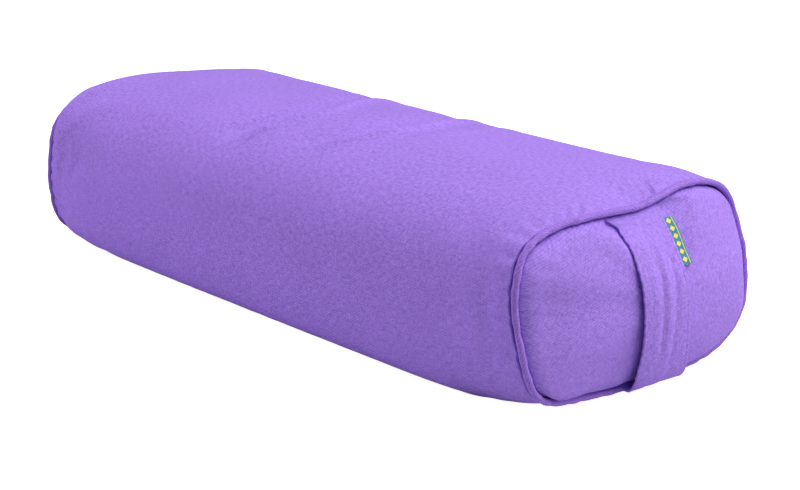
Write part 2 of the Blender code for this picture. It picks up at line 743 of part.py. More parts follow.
def filling():
    """The whole filling as one closed mesh, before it is cut into layers."""
    body = [x for x in half_stations() if x < LIP_STATION]
    rows = []
    for x in [-x for x in reversed(body)] + body:
        rows.append([skin(x, a, liner_depth(x, a) + LINER_CLOTH + GAP) for a in COARSE_COLUMNS])
    near, near_pole = liner_cap(1, LINER_CLOTH + GAP)
    far, far_pole = liner_cap(-1, LINER_CLOTH + GAP)
    rows = far[::-1] + rows + near
    bm = bmesh.new()
    rings = join_rows(bm, rows)
    close_to_point(bm, rings[0], far_pole)
    close_to_point(bm, rings[-1], near_pole)
    bmesh.ops.recalc_face_normals(bm, faces=bm.faces)
    return bm


def cut_level(bm, level, up):
    """Keeps what lies on one side of a level, and closes the cut."""
    cut = bmesh.ops.bisect_plane(
        bm,
        geom=bm.verts[:] + bm.edges[:] + bm.faces[:],
        plane_co=(0.0, 0.0, level),
        plane_no=(0.0, 0.0, up),
        clear_inner=True,
    )
    edges = [part for part in cut["geom_cut"] if isinstance(part, bmesh.types.BMEdge)]
    bmesh.ops.contextual_create(bm, geom=edges)


def batting_layers():
    """Sheets of cotton batting, stacked, each cut to the shape of the stuffed body."""
    whole = filling()
    levels = [vertex.co.z for vertex in whole.verts]
    foot, top = min(levels), max(levels)
    thickness = (top - foot) / BATTING_LAYERS
    layers = []
    for number in range(BATTING_LAYERS):
        bm = whole.copy()
        if number > 0:
            cut_level(bm, foot + number * thickness + GAP / 2, 1.0)
        if number < BATTING_LAYERS - 1:
            cut_level(bm, foot + (number + 1) * thickness - GAP / 2, -1.0)
        bmesh.ops.recalc_face_normals(bm, faces=bm.faces)
        layers.append(add_object(f"batting_layer_{number + 1}", bm, BATTING_COLOR, 0.95))
    whole.free()
    return layers


def add_empty(name, place, parent=None):
    """Empty at a place in the body's frame, where its children's joint has its axis."""
    made = bpy.data.objects.new(name, None)
    made.empty_display_size = STRAP_WIDTH
    bpy.context.scene.collection.objects.link(made)
    made.location = place
    if parent:
        made.parent = parent
        made.location = place - parent.location
    return made


def hang(prefixes, parent, origin):
    """Parents the objects of those names, with their origins on the parent's and their shapes kept."""
    for made in bpy.data.objects:
        if made.type == "MESH" and made.parent is None and made.name.startswith(prefixes):
            made.data.transform(Matrix.Translation(-origin))
            made.parent = parent


def clear_scene():
    for old in list(bpy.data.objects):
        bpy.data.objects.remove(old, do_unlink=True)


def main():
    clear_scene()
    cover_body_panel()
    for name, end in (("near", 1), ("far", -1)):
        end_panel(f"{name}_end_panel", end)
        piping_sleeve(f"{name}_piping_sleeve", end)
        piping_cord(f"{name}_piping_cord", end)
        liner_end(f"liner_{name}_end", end)
    liner_body()
    batting_layers()
    top_ends = (STOP_START, STOP_START + TOP_STOP_LENGTH)
    for name, side in (("upper", 1), ("lower", -1)):
        zip_tape(f"zip_tape_{name}", side)
        zip_teeth(f"zip_teeth_{name}", side)
        zip_stop(f"zip_top_stop_{name}", top_ends, (side * SPINE_INNER, side * SPINE_OUTER))
    bottom_ends = (BOTTOM_STOP_END - BOTTOM_STOP_LENGTH, BOTTOM_STOP_END)
    zip_stop("zip_bottom_stop", bottom_ends, (-SPINE_OUTER, SPINE_OUTER))
    carry_handle()
    label_tab()
    zip_slider()
    zip_pull()

    root = add_empty("bolster", Vector())
    handle_place = Vector((SEAM_STATION + END_CROWN + STRAP_STANDOFF, 0.0, WIDEST_LEVEL))
    slider_place = Vector((SLIDER_REST, ZIP_FACE, ZIP_LEVEL))
    handle = add_empty("handle_lift", handle_place, root)
    travel = add_empty("slider_travel", slider_place, root)
    hinge = add_empty("pull_hinge", pull_axis(), travel)
    hang(("carry_handle", "label_tab"), handle, handle_place)
    hang("zip_slider", travel, slider_place)
    hang("zip_pull", hinge, pull_axis())
    hang("", root, Vector())

    back = ZIP_FACE + PLATE_FACE + BAIL_HEIGHT
    root.location = Vector(((END_CROWN - STRAP_REACH) / 2, (BODY_WIDTH / 2 - back) / 2, 0.0))
    bpy.context.view_layer.update()
    for empty in (handle, travel, hinge):
        print(empty.name, [round(value, 6) for value in empty.matrix_world.translation])
    print("slider travel", round(SLIDER_TRAVEL, 6))


main()
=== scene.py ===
"""Looks of a rectangular yoga bolster, sewn and filled round its packed frame.

Metres, +Z up. +X runs along the bolster to the end with the handle, and +Y to the zip at the back.
"""

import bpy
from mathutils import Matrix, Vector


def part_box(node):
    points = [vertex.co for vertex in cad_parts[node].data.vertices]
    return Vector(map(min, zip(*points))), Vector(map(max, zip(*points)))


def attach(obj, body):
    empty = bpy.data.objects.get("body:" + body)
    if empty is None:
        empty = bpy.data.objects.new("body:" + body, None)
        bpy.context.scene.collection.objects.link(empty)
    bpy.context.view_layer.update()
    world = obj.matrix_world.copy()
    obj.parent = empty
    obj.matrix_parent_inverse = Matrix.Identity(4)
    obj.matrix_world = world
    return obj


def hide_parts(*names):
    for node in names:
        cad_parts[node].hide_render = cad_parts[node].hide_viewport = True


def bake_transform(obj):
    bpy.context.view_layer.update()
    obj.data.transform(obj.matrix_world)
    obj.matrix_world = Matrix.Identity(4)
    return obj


bl_info = {
    "name": "Rectangular yoga bolster",
    "version": (1, 0, 0),
    "blender": (4, 5, 0),
    "location": "3D View > Sidebar > Bolster",
    "description": "Sews, fills and dresses a rectangular yoga bolster round its frame",
    "category": "Add Mesh",
}

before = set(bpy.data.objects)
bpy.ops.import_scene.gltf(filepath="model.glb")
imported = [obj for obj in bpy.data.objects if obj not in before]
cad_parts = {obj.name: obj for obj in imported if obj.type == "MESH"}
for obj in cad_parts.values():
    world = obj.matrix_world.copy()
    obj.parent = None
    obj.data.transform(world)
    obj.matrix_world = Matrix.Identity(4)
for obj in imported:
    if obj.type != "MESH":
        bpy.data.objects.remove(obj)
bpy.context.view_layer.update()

import math

import bmesh
import bpy
import numpy as np
from bpy.props import (
    FloatProperty, FloatVectorProperty, IntProperty, PointerProperty,
)
from mathutils import Vector
from mathutils.bvhtree import BVHTree

MM = 0.001

# Sizes read from the frame
COVER_LOW, COVER_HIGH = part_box("cover_body_panel")
STRAP_LOW, STRAP_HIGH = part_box("carry_handle")
LABEL_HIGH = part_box("label_tab")[1]
UPPER_TAPE_LOW, UPPER_TAPE_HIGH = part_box("zip_tape_upper")
LOWER_TAPE_LOW, LOWER_TAPE_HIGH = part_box("zip_tape_lower")
TEETH_LOW, TEETH_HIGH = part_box("zip_teeth_upper")
BODY_WIDTH = COVER_HIGH.y - COVER_LOW.y
BODY_HEIGHT = COVER_HIGH.z
MIDDLE = Vector(((COVER_LOW.x + COVER_HIGH.x) / 2, (COVER_LOW.y + COVER_HIGH.y) / 2, 0.0))
WIDEST_LEVEL = BODY_HEIGHT / 2

# Shape of the stuffed body, as in the frame
TAPER_LENGTH = 143 * MM
TOP_DROP = 15 * MM
FOOT_RISE = 8 * MM
SIDE_DRAW = 1.5 * MM
SEAM_LEAN = 8 * MM
FLAT_DEPTH = 0.5 * MM
MIDDLE_TOP_POWER = 2.5
MIDDLE_FOOT_POWER = 6.0
SEAM_TOP_POWER = 4.4
SEAM_FOOT_POWER = 3.9
TAPER_POWER = 3.5
CROWN_EDGE_POWER = 2.2
FOOT_SHARE = (WIDEST_LEVEL + FLAT_DEPTH - FOOT_RISE) / WIDEST_LEVEL
SEAM_STATION = (COVER_HIGH.x - COVER_LOW.x) / 2 - SEAM_LEAN * FOOT_SHARE
END_CROWN = 24 * MM

# Cloth and seams
GAP = 0.3 * MM
COVER_CLOTH = 0.8 * MM
LINER_CLOTH = 0.5 * MM
SLEEVE_CLOTH = 0.5 * MM
SEAM_ALLOWANCE = 10 * MM
PIPING_RADIUS = 2.9 * MM
PIPING_PROUD = 1.5 * MM
ROLL_RADIUS = 2.5 * MM
PANEL_DEPTH = 2 * PIPING_RADIUS - PIPING_PROUD + GAP
STRAP_THICKNESS = 1.8 * MM
STRAP_WIDTH = STRAP_HIGH.y - STRAP_LOW.y
STRAP_DENT_RUN = 13 * MM

# Zip
ZIP_LEVEL = (UPPER_TAPE_LOW.z + LOWER_TAPE_HIGH.z) / 2
SLOT_LENGTH = 386 * MM
SLOT_HEIGHT = 12 * MM

# Outer face of the strap at its two edges as it hangs: how far past the seam's station, then how
# high, in millimetres
STRAP_FRONT_EDGE = (
    (-17, 135.4), (-7.5, 135.3), (-2.8, 134.2), (0.8, 129.9), (5.0, 124.4), (14.3, 115.8), (21, 103.4),
    (25.4, 93.3), (27.6, 84), (29.0, 73), (29.6, 59), (28.6, 44.3), (25.4, 28.9), (22, 16.5),
    (17.8, 10.2), (12.5, 8.6), (8.2, 10.8), (2, 12.5), (-2.8, 12.6),
)
STRAP_BACK_EDGE = (
    (-17, 135.4), (-7.5, 135.3), (-2.8, 134.4), (1.0, 130.4), (4.6, 124.6), (9.5, 117.2), (14.8, 107.6),
    (19.4, 98.7), (24.2, 89), (27.4, 78), (29.2, 65), (29.6, 50), (29.6, 34), (28.0, 19.0),
    (23.5, 11.2), (15.5, 8.6), (8.2, 10.8), (2, 12.5), (-2.8, 12.6),
)
LABEL_LEVELS = (127 * MM, 94.5 * MM)
LABEL_TUCK = 5 * MM
LABEL_CLOTH = 0.35 * MM
STRAP_FLARE = 9 * MM
STRAP_LEAN = 3 * MM

# Mesh counts
SLOT_COLUMNS = 3
GIRTH_COLUMNS = 147
STATION_STEP = 6.5 * MM
FOLD_STEP = 4 * MM
FOLD_ZONE = 108 * MM
SEAM_STEP = 3.6 * MM
SEAM_ZONE = 70 * MM
PANEL_CELLS = (56, 30)
EDGE_STEPS, DENSE_EDGE_STEPS = 401, 600
FINE_ANGLES = np.linspace(0.0, 2 * math.pi, 1441)

# Filling pressure, and how far the cloth may move and where it starts
FRAMES = 20
PRESSURE = 4.0
LIVELINESS = 0.75
LOOSENESS = 0.25 * MM
SLOW_ROUNDS = 40
EVEN_ROUNDS = 2
BODY_MOVE, BODY_START = 3.5 * MM, 2.0 * MM
PANEL_MOVE, PANEL_START = 2.6 * MM, 1.6 * MM
PANEL_SLACK_FACTOR = 1.6

# How far from the foot and from the seams the cover is held while it is filled
FOOT_HELD = 1 * MM
SEAM_HELD = 30 * MM
SEAM_HELD_SHARE = 0.9

# Where the two seams stray from their plain line: run round the seam from the back over the top, then
# how far outwards and how far towards the end, all in millimetres
SEAM_STRAY = {
    1: (
        (0, -0.5, -2.0), (37, -3.0, -7.0), (69, 2.2, -7.0), (95, 4.8, -5.0), (119, 4.8, -3.5),
        (144, 1.8, -1.0), (167, -0.5, 0.0), (185, 0.3, 0.0), (199, 1.2, 0.0), (213, 1.8, -0.7),
        (227, 2.0, -1.5), (245, 2.4, -3.5), (267, 2.2, -3.6), (285, 2.0, -2.6), (301, 1.0, -1.6),
        (320, 1.0, -2.7), (337, 0.8, -2.3), (354, 0.0, 0.2), (378, -2.0, 0.9), (414, -2.5, -3.0),
        (447, -2.5, -5.0), (486, -1.0, -2.5), (530, -0.2, -0.5), (586, -0.8, -1.0), (625, -1.0, -3.0),
        (656, -0.5, -2.0),
    ),
    -1: (
        (0, -0.5, -1.0), (60, -1.0, -2.0), (120, -1.0, -2.0), (180, -0.6, -2.0), (240, -0.4, -2.0),
        (268, -1.2, -2.0), (298, -3.8, -3.0), (320, -3.2, -3.0), (345, -1.6, -3.0), (373, -2.8, -4.4),
        (395, -0.5, -4.6), (406, 1.6, -4.4), (420, 2.8, -3.4), (440, 2.0, -2.0), (480, 0.3, -1.0),
        (560, 0.0, -1.0), (620, 0.0, -1.5), (656, -0.5, -1.0),
    ),
}
STRAY_REACH = 75 * MM
STRAY_SHIFT_REACH = 110 * MM

# How high the cover bulges before it drops into the far seam: run and height in millimetres. Then
# how far from the seam it is full, where it starts to sink and how long it takes
FAR_BULGE = (
    (95, 0), (140, 3.5), (160, 5.0), (200, 7.6), (225, 8.4), (260, 8.6), (282, 7.4), (300, 5.6),
    (322, 4.0), (370, 0),
)
BULGE_FULL, BULGE_STOP, BULGE_TAIL = 9 * MM, 14 * MM, 26 * MM

# How far the cover's edge stays back from the piping, which leaves a dark groove: run and width
GROOVE = ((0, 0.3), (250, 0.3), (292, 1.8), (405, 1.8), (428, 0.3), (687, 0.3))
FAR_GROOVE = 0.3 * MM
GROOVE_REACH, GROOVE_POWER = 14 * MM, 1.5

# How the cover's edge turns into a seam: towards the end and deep, in millimetres, row by row
EDGE_TURN = ((0.0, 0.15), (0.2, 0.8), (0.2, 1.8), (0.0, 2.8), (-2.0, 3.2))
EDGE_PULL = 0.55 * MM

# Soft folds across the top: points of each crest as (along, across) from the body's middle, then
# the crest's height and the trough's depth, all in millimetres
TOP_FOLDS = (
    (((-48, -96), (-38, -68), (-24, -26), (-30, 8), (-41, 55), (-46, 104)), 4.8, 5.2),
    (((30, -84), (43, -60), (58, -30), (62, 4), (61, 53), (52, 98)), 4.6, 4.8),
    (((88, -24), (96, 6), (100, 32), (96, 90)), 2.4, 2.2),
)
FOLD_FRONT = 17 * MM
FOLD_CREST = 3.2 * MM
FOLD_CREST_SHARE = 0.7
FOLD_BACK = 9 * MM
FOLD_TROUGH = 25 * MM
FOLD_TROUGH_WIDTH = 14 * MM
FOLD_FADE = 30 * MM
FOLD_RISE = 0.7 * FOLD_FADE
FOLD_SINK = 3.0 * FOLD_FADE
FOLD_SINK_SHARE = 0.7
FOLD_SLOPES = (0.2, 0.7)
FOLD_STEPS = 81

# Puckers photographed beside the near seam: run in millimetres, then half width, reach, depth and slant
NEAR_PUCKERS = (
    (146, 2.2, 30, 4.6, -0.75), (155, 2.2, 24, 1.6, -0.75), (212, 2.4, 22, 1.4, -0.3),
    (226, 2.6, 34, 2.0, -0.4), (237, 2.4, 28, 1.6, -0.4), (262, 3.0, 44, 1.6, 0.1),
    (275, 2.8, 40, 1.9, 0.1), (291, 2.6, 50, 1.9, 0.1), (305, 2.8, 44, 1.7, 0.0), (318, 2.6, 56, 2.0, 0.1),
    (332, 2.6, 54, 2.3, 0.0), (343, 2.4, 44, 2.0, -0.1), (356, 2.8, 46, 1.8, -0.1), (371, 2.6, 34, 1.4, -0.2),
)

# The many small puckers between them: how many, their least and most half width, reach and depth in
# millimetres, and their slant
RANDOM_PUCKERS = 46
PUCKER_SIZES = ((2.2, 4.5), (8, 26), (0.15, 0.5))
PUCKER_SLANT = 0.4

# How a pucker is full a little way from the seam, and how the cloth beside it rises, as shares
PUCKER_FULL = 6 * MM
PUCKER_SEAM_SHARE = 0.4
PUCKER_RISE_SHARE = 0.45
PUCKER_RISE_PLACE = 1.9
PUCKER_FADE_POWER = 1.5
PANEL_PUCKER_SHARE = 0.12

# How far the near panel bulges over the piping: run and reach in millimetres. Then how far from the
# seam it starts and is full, where it starts to sink and how long it takes
PANEL_SAG = (
    (0, 1.5), (45, 0.3), (300, 0), (380, 0), (396, 3.0), (412, 5.4), (428, 3.6), (446, 1.4), (466, 1.0),
    (484, 1.8), (500, 3.0), (518, 3.6), (545, 4.6), (625, 4.8), (655, 3.2), (687, 1.5),
)
SAG_START, SAG_FULL, SAG_STOP, SAG_TAIL = 1.0 * MM, 4.5 * MM, 5 * MM, 13 * MM
PANEL_GRAIN = math.radians(-56)


def mix(start, end, share):
    """The value a share of the way from start to end."""
    return start + (end - start) * share


def smooth(low, high, value):
    """0 below low, 1 above high, with a soft turn at both."""
    share = np.clip((value - low) / (high - low), 0.0, 1.0)
    return share * share * (3 - 2 * share)


def taper(x):
    """How far the seam's shape has taken over at station x: 0 in the middle, 1 at a seam."""
    return np.clip((np.abs(x) - SEAM_STATION + TAPER_LENGTH) / TAPER_LENGTH, 0.0, 1.0) ** TAPER_POWER


def section(x, angle):
    """Points on the plain cover at stations x, from the body's middle, and their outward normals."""
    x, angle = np.broadcast_arrays(np.asarray(x, float), np.asarray(angle, float))
    pull = taper(x)
    cosine, sine = np.cos(angle), np.sin(angle)
    width = BODY_WIDTH / 2 - SIDE_DRAW * pull
    top = BODY_HEIGHT - TOP_DROP * pull - WIDEST_LEVEL
    foot = WIDEST_LEVEL + FLAT_DEPTH - FOOT_RISE * pull
    top_power = mix(MIDDLE_TOP_POWER, SEAM_TOP_POWER, pull)
    foot_power = mix(MIDDLE_FOOT_POWER, SEAM_FOOT_POWER, pull)
    reach = np.where(sine >= 0, top, foot)
    power = np.where(sine >= 0, top_power, foot_power)
    across = np.sign(cosine) * np.abs(cosine) ** (2 / power)
    upward = np.sign(sine) * np.abs(sine) ** (2 / power)
    normal = np.stack([
        np.zeros_like(across),
        np.sign(across) * np.abs(across) ** (power - 1) / width,
        np.sign(upward) * np.abs(upward) ** (power - 1) / reach,
    ], axis=-1)
    normal /= np.linalg.norm(normal, axis=-1, keepdims=True)
    lean = np.sign(x) * SEAM_LEAN * pull * upward * reach / WIDEST_LEVEL
    level = np.maximum(WIDEST_LEVEL + reach * upward, 0.0)
    return np.stack([x - lean, width * across, level], axis=-1), normal


def runs(points):
    """Length along a line of points up to each of them."""
    steps = np.linalg.norm(np.diff(points, axis=0), axis=-1)
    return np.concatenate([[0.0], np.cumsum(steps)])


SEAM_RUNS = runs(section(SEAM_STATION, FINE_ANGLES)[0])
SEAM_GIRTH = SEAM_RUNS[-1]


def seam_run(angle):
    """Run round a seam to the point at an angle, from the back over the top."""
    return np.interp(np.mod(angle, 2 * math.pi), FINE_ANGLES, SEAM_RUNS)


def seam_angle(run):
    return np.interp(np.mod(run, SEAM_GIRTH), SEAM_RUNS, FINE_ANGLES)


def smooth_line(places, values, at):
    """Smooth curve through values at rising places, read at other places."""
    slope = np.gradient(values, places)
    i = np.clip(np.searchsorted(places, at, side="right") - 1, 0, len(places) - 2)
    span = places[i + 1] - places[i]
    t = (at - places[i]) / span
    rise = values[i + 1] - values[i]
    lead, trail = slope[i] * span, slope[i + 1] * span
    return values[i] + t * (lead + t * (3 * rise - 2 * lead - trail + t * (lead + trail - 2 * rise)))


def round_line(places, values, at, period):
    """The same for a closed curve, which repeats after a period."""
    places = np.concatenate([places[-2:] - period, places, places[:2] + period])
    values = np.concatenate([values[-2:], values, values[:2]])
    return smooth_line(places, values, np.mod(at, period))


def listed(table, run):
    """Value at a run from a table in millimetres."""
    return np.interp(run, *(np.array(table).T * MM))


def swelled(distance, start, full, stop, tail):
    """0 up to start, 1 from full to stop, then dying away over a tail."""
    return smooth(start, full, distance) * np.exp(-(np.maximum(distance - stop, 0.0) / tail) ** 2)


def seam_stray(run, end):
    """How far a seam strays outwards and along the body at a run round it."""
    table = np.array(SEAM_STRAY[end]) * MM
    outwards, along = (round_line(table[:, 0], table[:, k], run, SEAM_GIRTH) for k in (1, 2))
    return outwards, along * end


def strayed(points, normals, x, angle):
    """Moves skin points with the seam they are nearest, less and less towards the middle."""
    run = seam_run(angle)
    moved = points.copy()
    for end in (-1, 1):
        outwards, along = seam_stray(run, end)
        near = smooth(SEAM_STATION - STRAY_REACH, SEAM_STATION, x * end)
        far = smooth(SEAM_STATION - STRAY_SHIFT_REACH, SEAM_STATION, x * end)
        moved += normals * (outwards * near)[..., None]
        moved[..., 0] += along * far
    return moved


def skin(x, angle, depth=0.0):
    """Points of the seamed body at a depth under its outside, in the frame's place."""
    x, angle = np.broadcast_arrays(np.asarray(x, float), np.asarray(angle, float))
    inside = np.clip(x, -SEAM_STATION, SEAM_STATION)
    points, normals = section(inside, angle)
    points = strayed(points, normals, inside, angle)
    points[..., 0] += x - inside
    points -= normals * np.asarray(depth)[..., None]
    return points + np.array(MIDDLE), normals


def seam_dent(x, angle):
    """How much deeper the handle end's layers lie at station x, to make room for the strap's tails."""
    across = np.abs(section(SEAM_STATION, angle)[0][..., 1])
    rise = np.abs(section(x, angle)[0][..., 2] - section(SEAM_STATION, angle)[0][..., 2])
    room = STRAP_THICKNESS + GAP + rise
    return room * np.clip((STRAP_WIDTH / 2 + STRAP_DENT_RUN - across) / STRAP_DENT_RUN, 0.0, 1.0)


# Mesh tools


def grid_quads(rows, columns, around=False):
    """Corner numbers of the faces of a grid of points, and their (row, column) places."""
    last = columns if around else columns - 1
    row, column = np.meshgrid(np.arange(rows - 1), np.arange(last), indexing="ij")
    row, column = row.ravel(), column.ravel()
    places = np.stack([
        np.stack([row, column], -1), np.stack([row, column + 1], -1),
        np.stack([row + 1, column + 1], -1), np.stack([row + 1, column], -1),
    ], axis=1)
    numbers = places[..., 0] * columns + places[..., 1] % columns
    return numbers, places


def corner_values(grid, places):
    """A grid's values at the corners of its faces, one row for each corner."""
    return grid[places[..., 0], places[..., 1]].reshape(-1, 2)


def linked(name, data):
    """Object of some data, linked to the scene."""
    made = bpy.data.objects.new(name, data)
    bpy.context.scene.collection.objects.link(made)
    return made


def make_mesh(name, points, faces, corner_uv=None, outside=0):
    """Object of a mesh, with weave coordinates in metres for its first corners, and 0 for the others.
    Its first faces are its outside."""
    mesh = bpy.data.meshes.new(name)
    mesh.from_pydata(np.asarray(points, float).reshape(-1, 3).tolist(), [], [list(f) for f in faces])
    if corner_uv is not None:
        weave = np.zeros((len(mesh.loops), 2), np.float32)
        weave[:len(corner_uv)] = corner_uv
        layer = mesh.uv_layers.new(name="weave")
        layer.data.foreach_set("uv", weave.ravel())
    if outside:
        marks = mesh.attributes.new("outside", "BOOLEAN", "FACE")
        marks.data.foreach_set("value", [number < outside for number in range(len(faces))])
    mesh.shade_smooth()
    mesh.update()
    return linked(name, mesh)


def face_out(made):
    """Recalculates a closed mesh's normals, so that its faces point outwards."""
    bm = bmesh.new()
    bm.from_mesh(made.data)
    bmesh.ops.recalc_face_normals(bm, faces=bm.faces)
    bm.to_mesh(made.data)
    bm.free()
    made.data.update()
    return made


def flattened(made):
    """Applies every modifier, and leaves a plain mesh."""
    graph = bpy.context.evaluated_depsgraph_get()
    mesh = bpy.data.meshes.new_from_object(made.evaluated_get(graph))
    made.modifiers.clear()
    made.data = mesh
    return made


def between(fine):
    """A line of values with a smooth value put in between each two."""
    padded = np.concatenate([2 * fine[:1] - fine[1:2], fine, 2 * fine[-1:] - fine[-2:-1]])
    middles = (9 * (padded[1:-2] + padded[2:-1]) - padded[:-3] - padded[3:]) / 16
    made = np.empty((len(fine) * 2 - 1, *fine.shape[1:]))
    made[0::2] = fine
    made[1::2] = middles
    return made


def finer(field, around=False):
    """A grid of values at twice the count each way."""
    tall = between(field)
    if not around:
        return np.swapaxes(between(np.swapaxes(tall, 0, 1)), 0, 1)
    wrapped = np.concatenate([tall[:, -2:], tall, tall[:, :3]], axis=1)
    wide = np.swapaxes(between(np.swapaxes(wrapped, 0, 1)), 0, 1)
    return wide[:, 4:4 + 2 * field.shape[1]]


def two_to_one(fine, coarse):
    """Faces that join a closed loop of point numbers to one with half as many."""
    faces = []
    count = len(coarse)
    for i in range(count):
        a, b = coarse[i], coarse[(i + 1) % count]
        start, middle, stop = fine[2 * i], fine[2 * i + 1], fine[(2 * i + 2) % len(fine)]
        faces += [(a, start, middle), (a, middle, b), (b, middle, stop)]
    return faces


def hoop(first, second):
    """Corners of the faces that join two closed loops with as many entries each."""
    count = len(first)
    return [(first[k], first[(k + 1) % count], second[(k + 1) % count], second[k]) for k in range(count)]


def crossed(first, second):
    """Grid of every pair of two lines' values."""
    return np.stack(np.meshgrid(first, second, indexing="ij"), -1)


def filled(points, quads, held, slack):
    """Where a cloth comes to rest when its filling presses it out, with the held points sewn down."""
    scene = bpy.context.scene
    mesh = bpy.data.meshes.new("filled")
    mesh.from_pydata(points.tolist(), [], quads.tolist())
    made = linked("filled", mesh)
    sewn = made.vertex_groups.new(name="sewn")
    sewn.add([int(i) for i in np.flatnonzero(held)], 1.0, "REPLACE")
    cloth = made.modifiers.new("filling", "CLOTH")
    settings = cloth.settings
    settings.quality = 6
    settings.mass = 0.25
    settings.tension_stiffness = 25.0
    settings.compression_stiffness = 25.0
    settings.shear_stiffness = 12.0
    settings.bending_stiffness = 1.2
    settings.shrink_min = -slack
    settings.use_pressure = True
    settings.uniform_pressure_force = PRESSURE
    settings.vertex_group_mass = "sewn"
    settings.effector_weights.gravity = 0.0
    cloth.collision_settings.use_collision = False
    cloth.collision_settings.use_self_collision = False
    for number in range(1, FRAMES + 1):
        scene.frame_set(number)
    graph = bpy.context.evaluated_depsgraph_get()
    settled = np.empty(len(points) * 3)
    made.evaluated_get(graph).data.vertices.foreach_get("co", settled)
    bpy.data.objects.remove(made)
    scene.frame_set(1)
    return settled.reshape(-1, 3)


def evened(field, rounds, around):
    """A grid of values with all but its slow changes smoothed away."""
    for _ in range(rounds):
        tall = np.concatenate([field[:1], field, field[-1:]])
        field = (tall[:-2] + 2 * tall[1:-1] + tall[2:]) / 4
        edges = (field[:, -1:], field[:, :1]) if around else (field[:, :1], field[:, -1:])
        wide = np.concatenate([edges[0], field, edges[1]], axis=1)
        field = (wide[:, :-2] + 2 * wide[:, 1:-1] + wide[:, 2:]) / 4
    return field


def settled_by_filling(name, full, normals, quads, held, slack, cap, start_depth, seed, around=False):
    """Moves of a grid's points from its full shape to where its filling leaves them, with the shape's
    slow changes left out."""
    free = 1.0 - held
    loose = np.random.default_rng(seed).normal(0.0, LOOSENESS, free.shape)
    start = full - normals * ((start_depth + loose) * free)[..., None]
    rest = filled(start.reshape(-1, 3), quads, held.ravel() > 0.999, slack).reshape(full.shape)
    move = rest - start
    size = np.linalg.norm(move, axis=-1, keepdims=True)
    move *= np.minimum(1.0, cap / np.maximum(size, 1e-9))
    print(name, "moved up to", round(float(size.max()) / MM, 1), "mm, capped at", cap / MM)
    move = start + move - full
    outward = (move * normals).sum(axis=-1)
    move -= normals * evened(outward, SLOW_ROUNDS, around)[..., None]
    return evened(move * free[..., None], EVEN_ROUNDS, around) * LIVELINESS


# Shader tools


def add(tree, kind, inputs=None, **options):
    """Adds a node, sets its options, and fills its inputs with values or links."""
    node = tree.nodes.new(kind)
    for name, value in options.items():
        setattr(node, name, value)
    for key, value in (inputs or {}).items():
        if isinstance(value, bpy.types.NodeSocket):
            tree.links.new(value, node.inputs[key])
        else:
            node.inputs[key].default_value = value
    return node


def calc(tree, operation, first, second=0.0, third=0.0):
    """Output of a Math node."""
    return add(tree, "ShaderNodeMath", {0: first, 1: second, 2: third}, operation=operation).outputs[0]


def new_group(name, inputs, outputs):
    """Shader node group with named inputs and outputs, and its two end nodes."""
    group = bpy.data.node_groups.new(name, "ShaderNodeTree")
    for label, kind, default in inputs:
        socket = group.interface.new_socket(label, in_out="INPUT", socket_type=kind)
        if default is not None:
            socket.default_value = default
    for label, kind in outputs:
        group.interface.new_socket(label, in_out="OUTPUT", socket_type=kind)
    return group, group.nodes.new("NodeGroupInput").outputs, group.nodes.new("NodeGroupOutput").inputs


def noise(tree, place, scale, detail, roughness=0.5):
    """Output of a Noise node."""
    return add(tree, "ShaderNodeTexNoise", {
        "Vector": place, "Scale": scale, "Detail": detail, "Roughness": roughness,
    }).outputs[0]


def stretched(tree, place, scale):
    """A place with each of its directions scaled by itself."""
    return add(tree, "ShaderNodeVectorMath", {0: place, 1: scale}, operation="MULTIPLY").outputs[0]


def ranged(tree, value, low, high, **limits):
    """Output of a Map Range node, from low to high unless it has limits of its own."""
    given = {"Value": value, "To Min": low, "To Max": high}
    given.update({label.replace("_", " "): limit for label, limit in limits.items()})
    return add(tree, "ShaderNodeMapRange", given).outputs[0]


RIB_DRIFT_SCALE, RIB_DRIFT = 90.0, 1.6
YARN_PITCH_SHARE = 0.6
SLUB_SCALES = ((180.0, 700.0, 1.0), (640.0, 210.0, 1.0))
SLUB_CONTRAST, SLUB_OFFSET = 3.8, -1.4
RIB_HEIGHT_SHARE, YARN_HEIGHT_SHARE, SLUB_HEIGHT_SHARE = 0.55, 0.25, 0.8


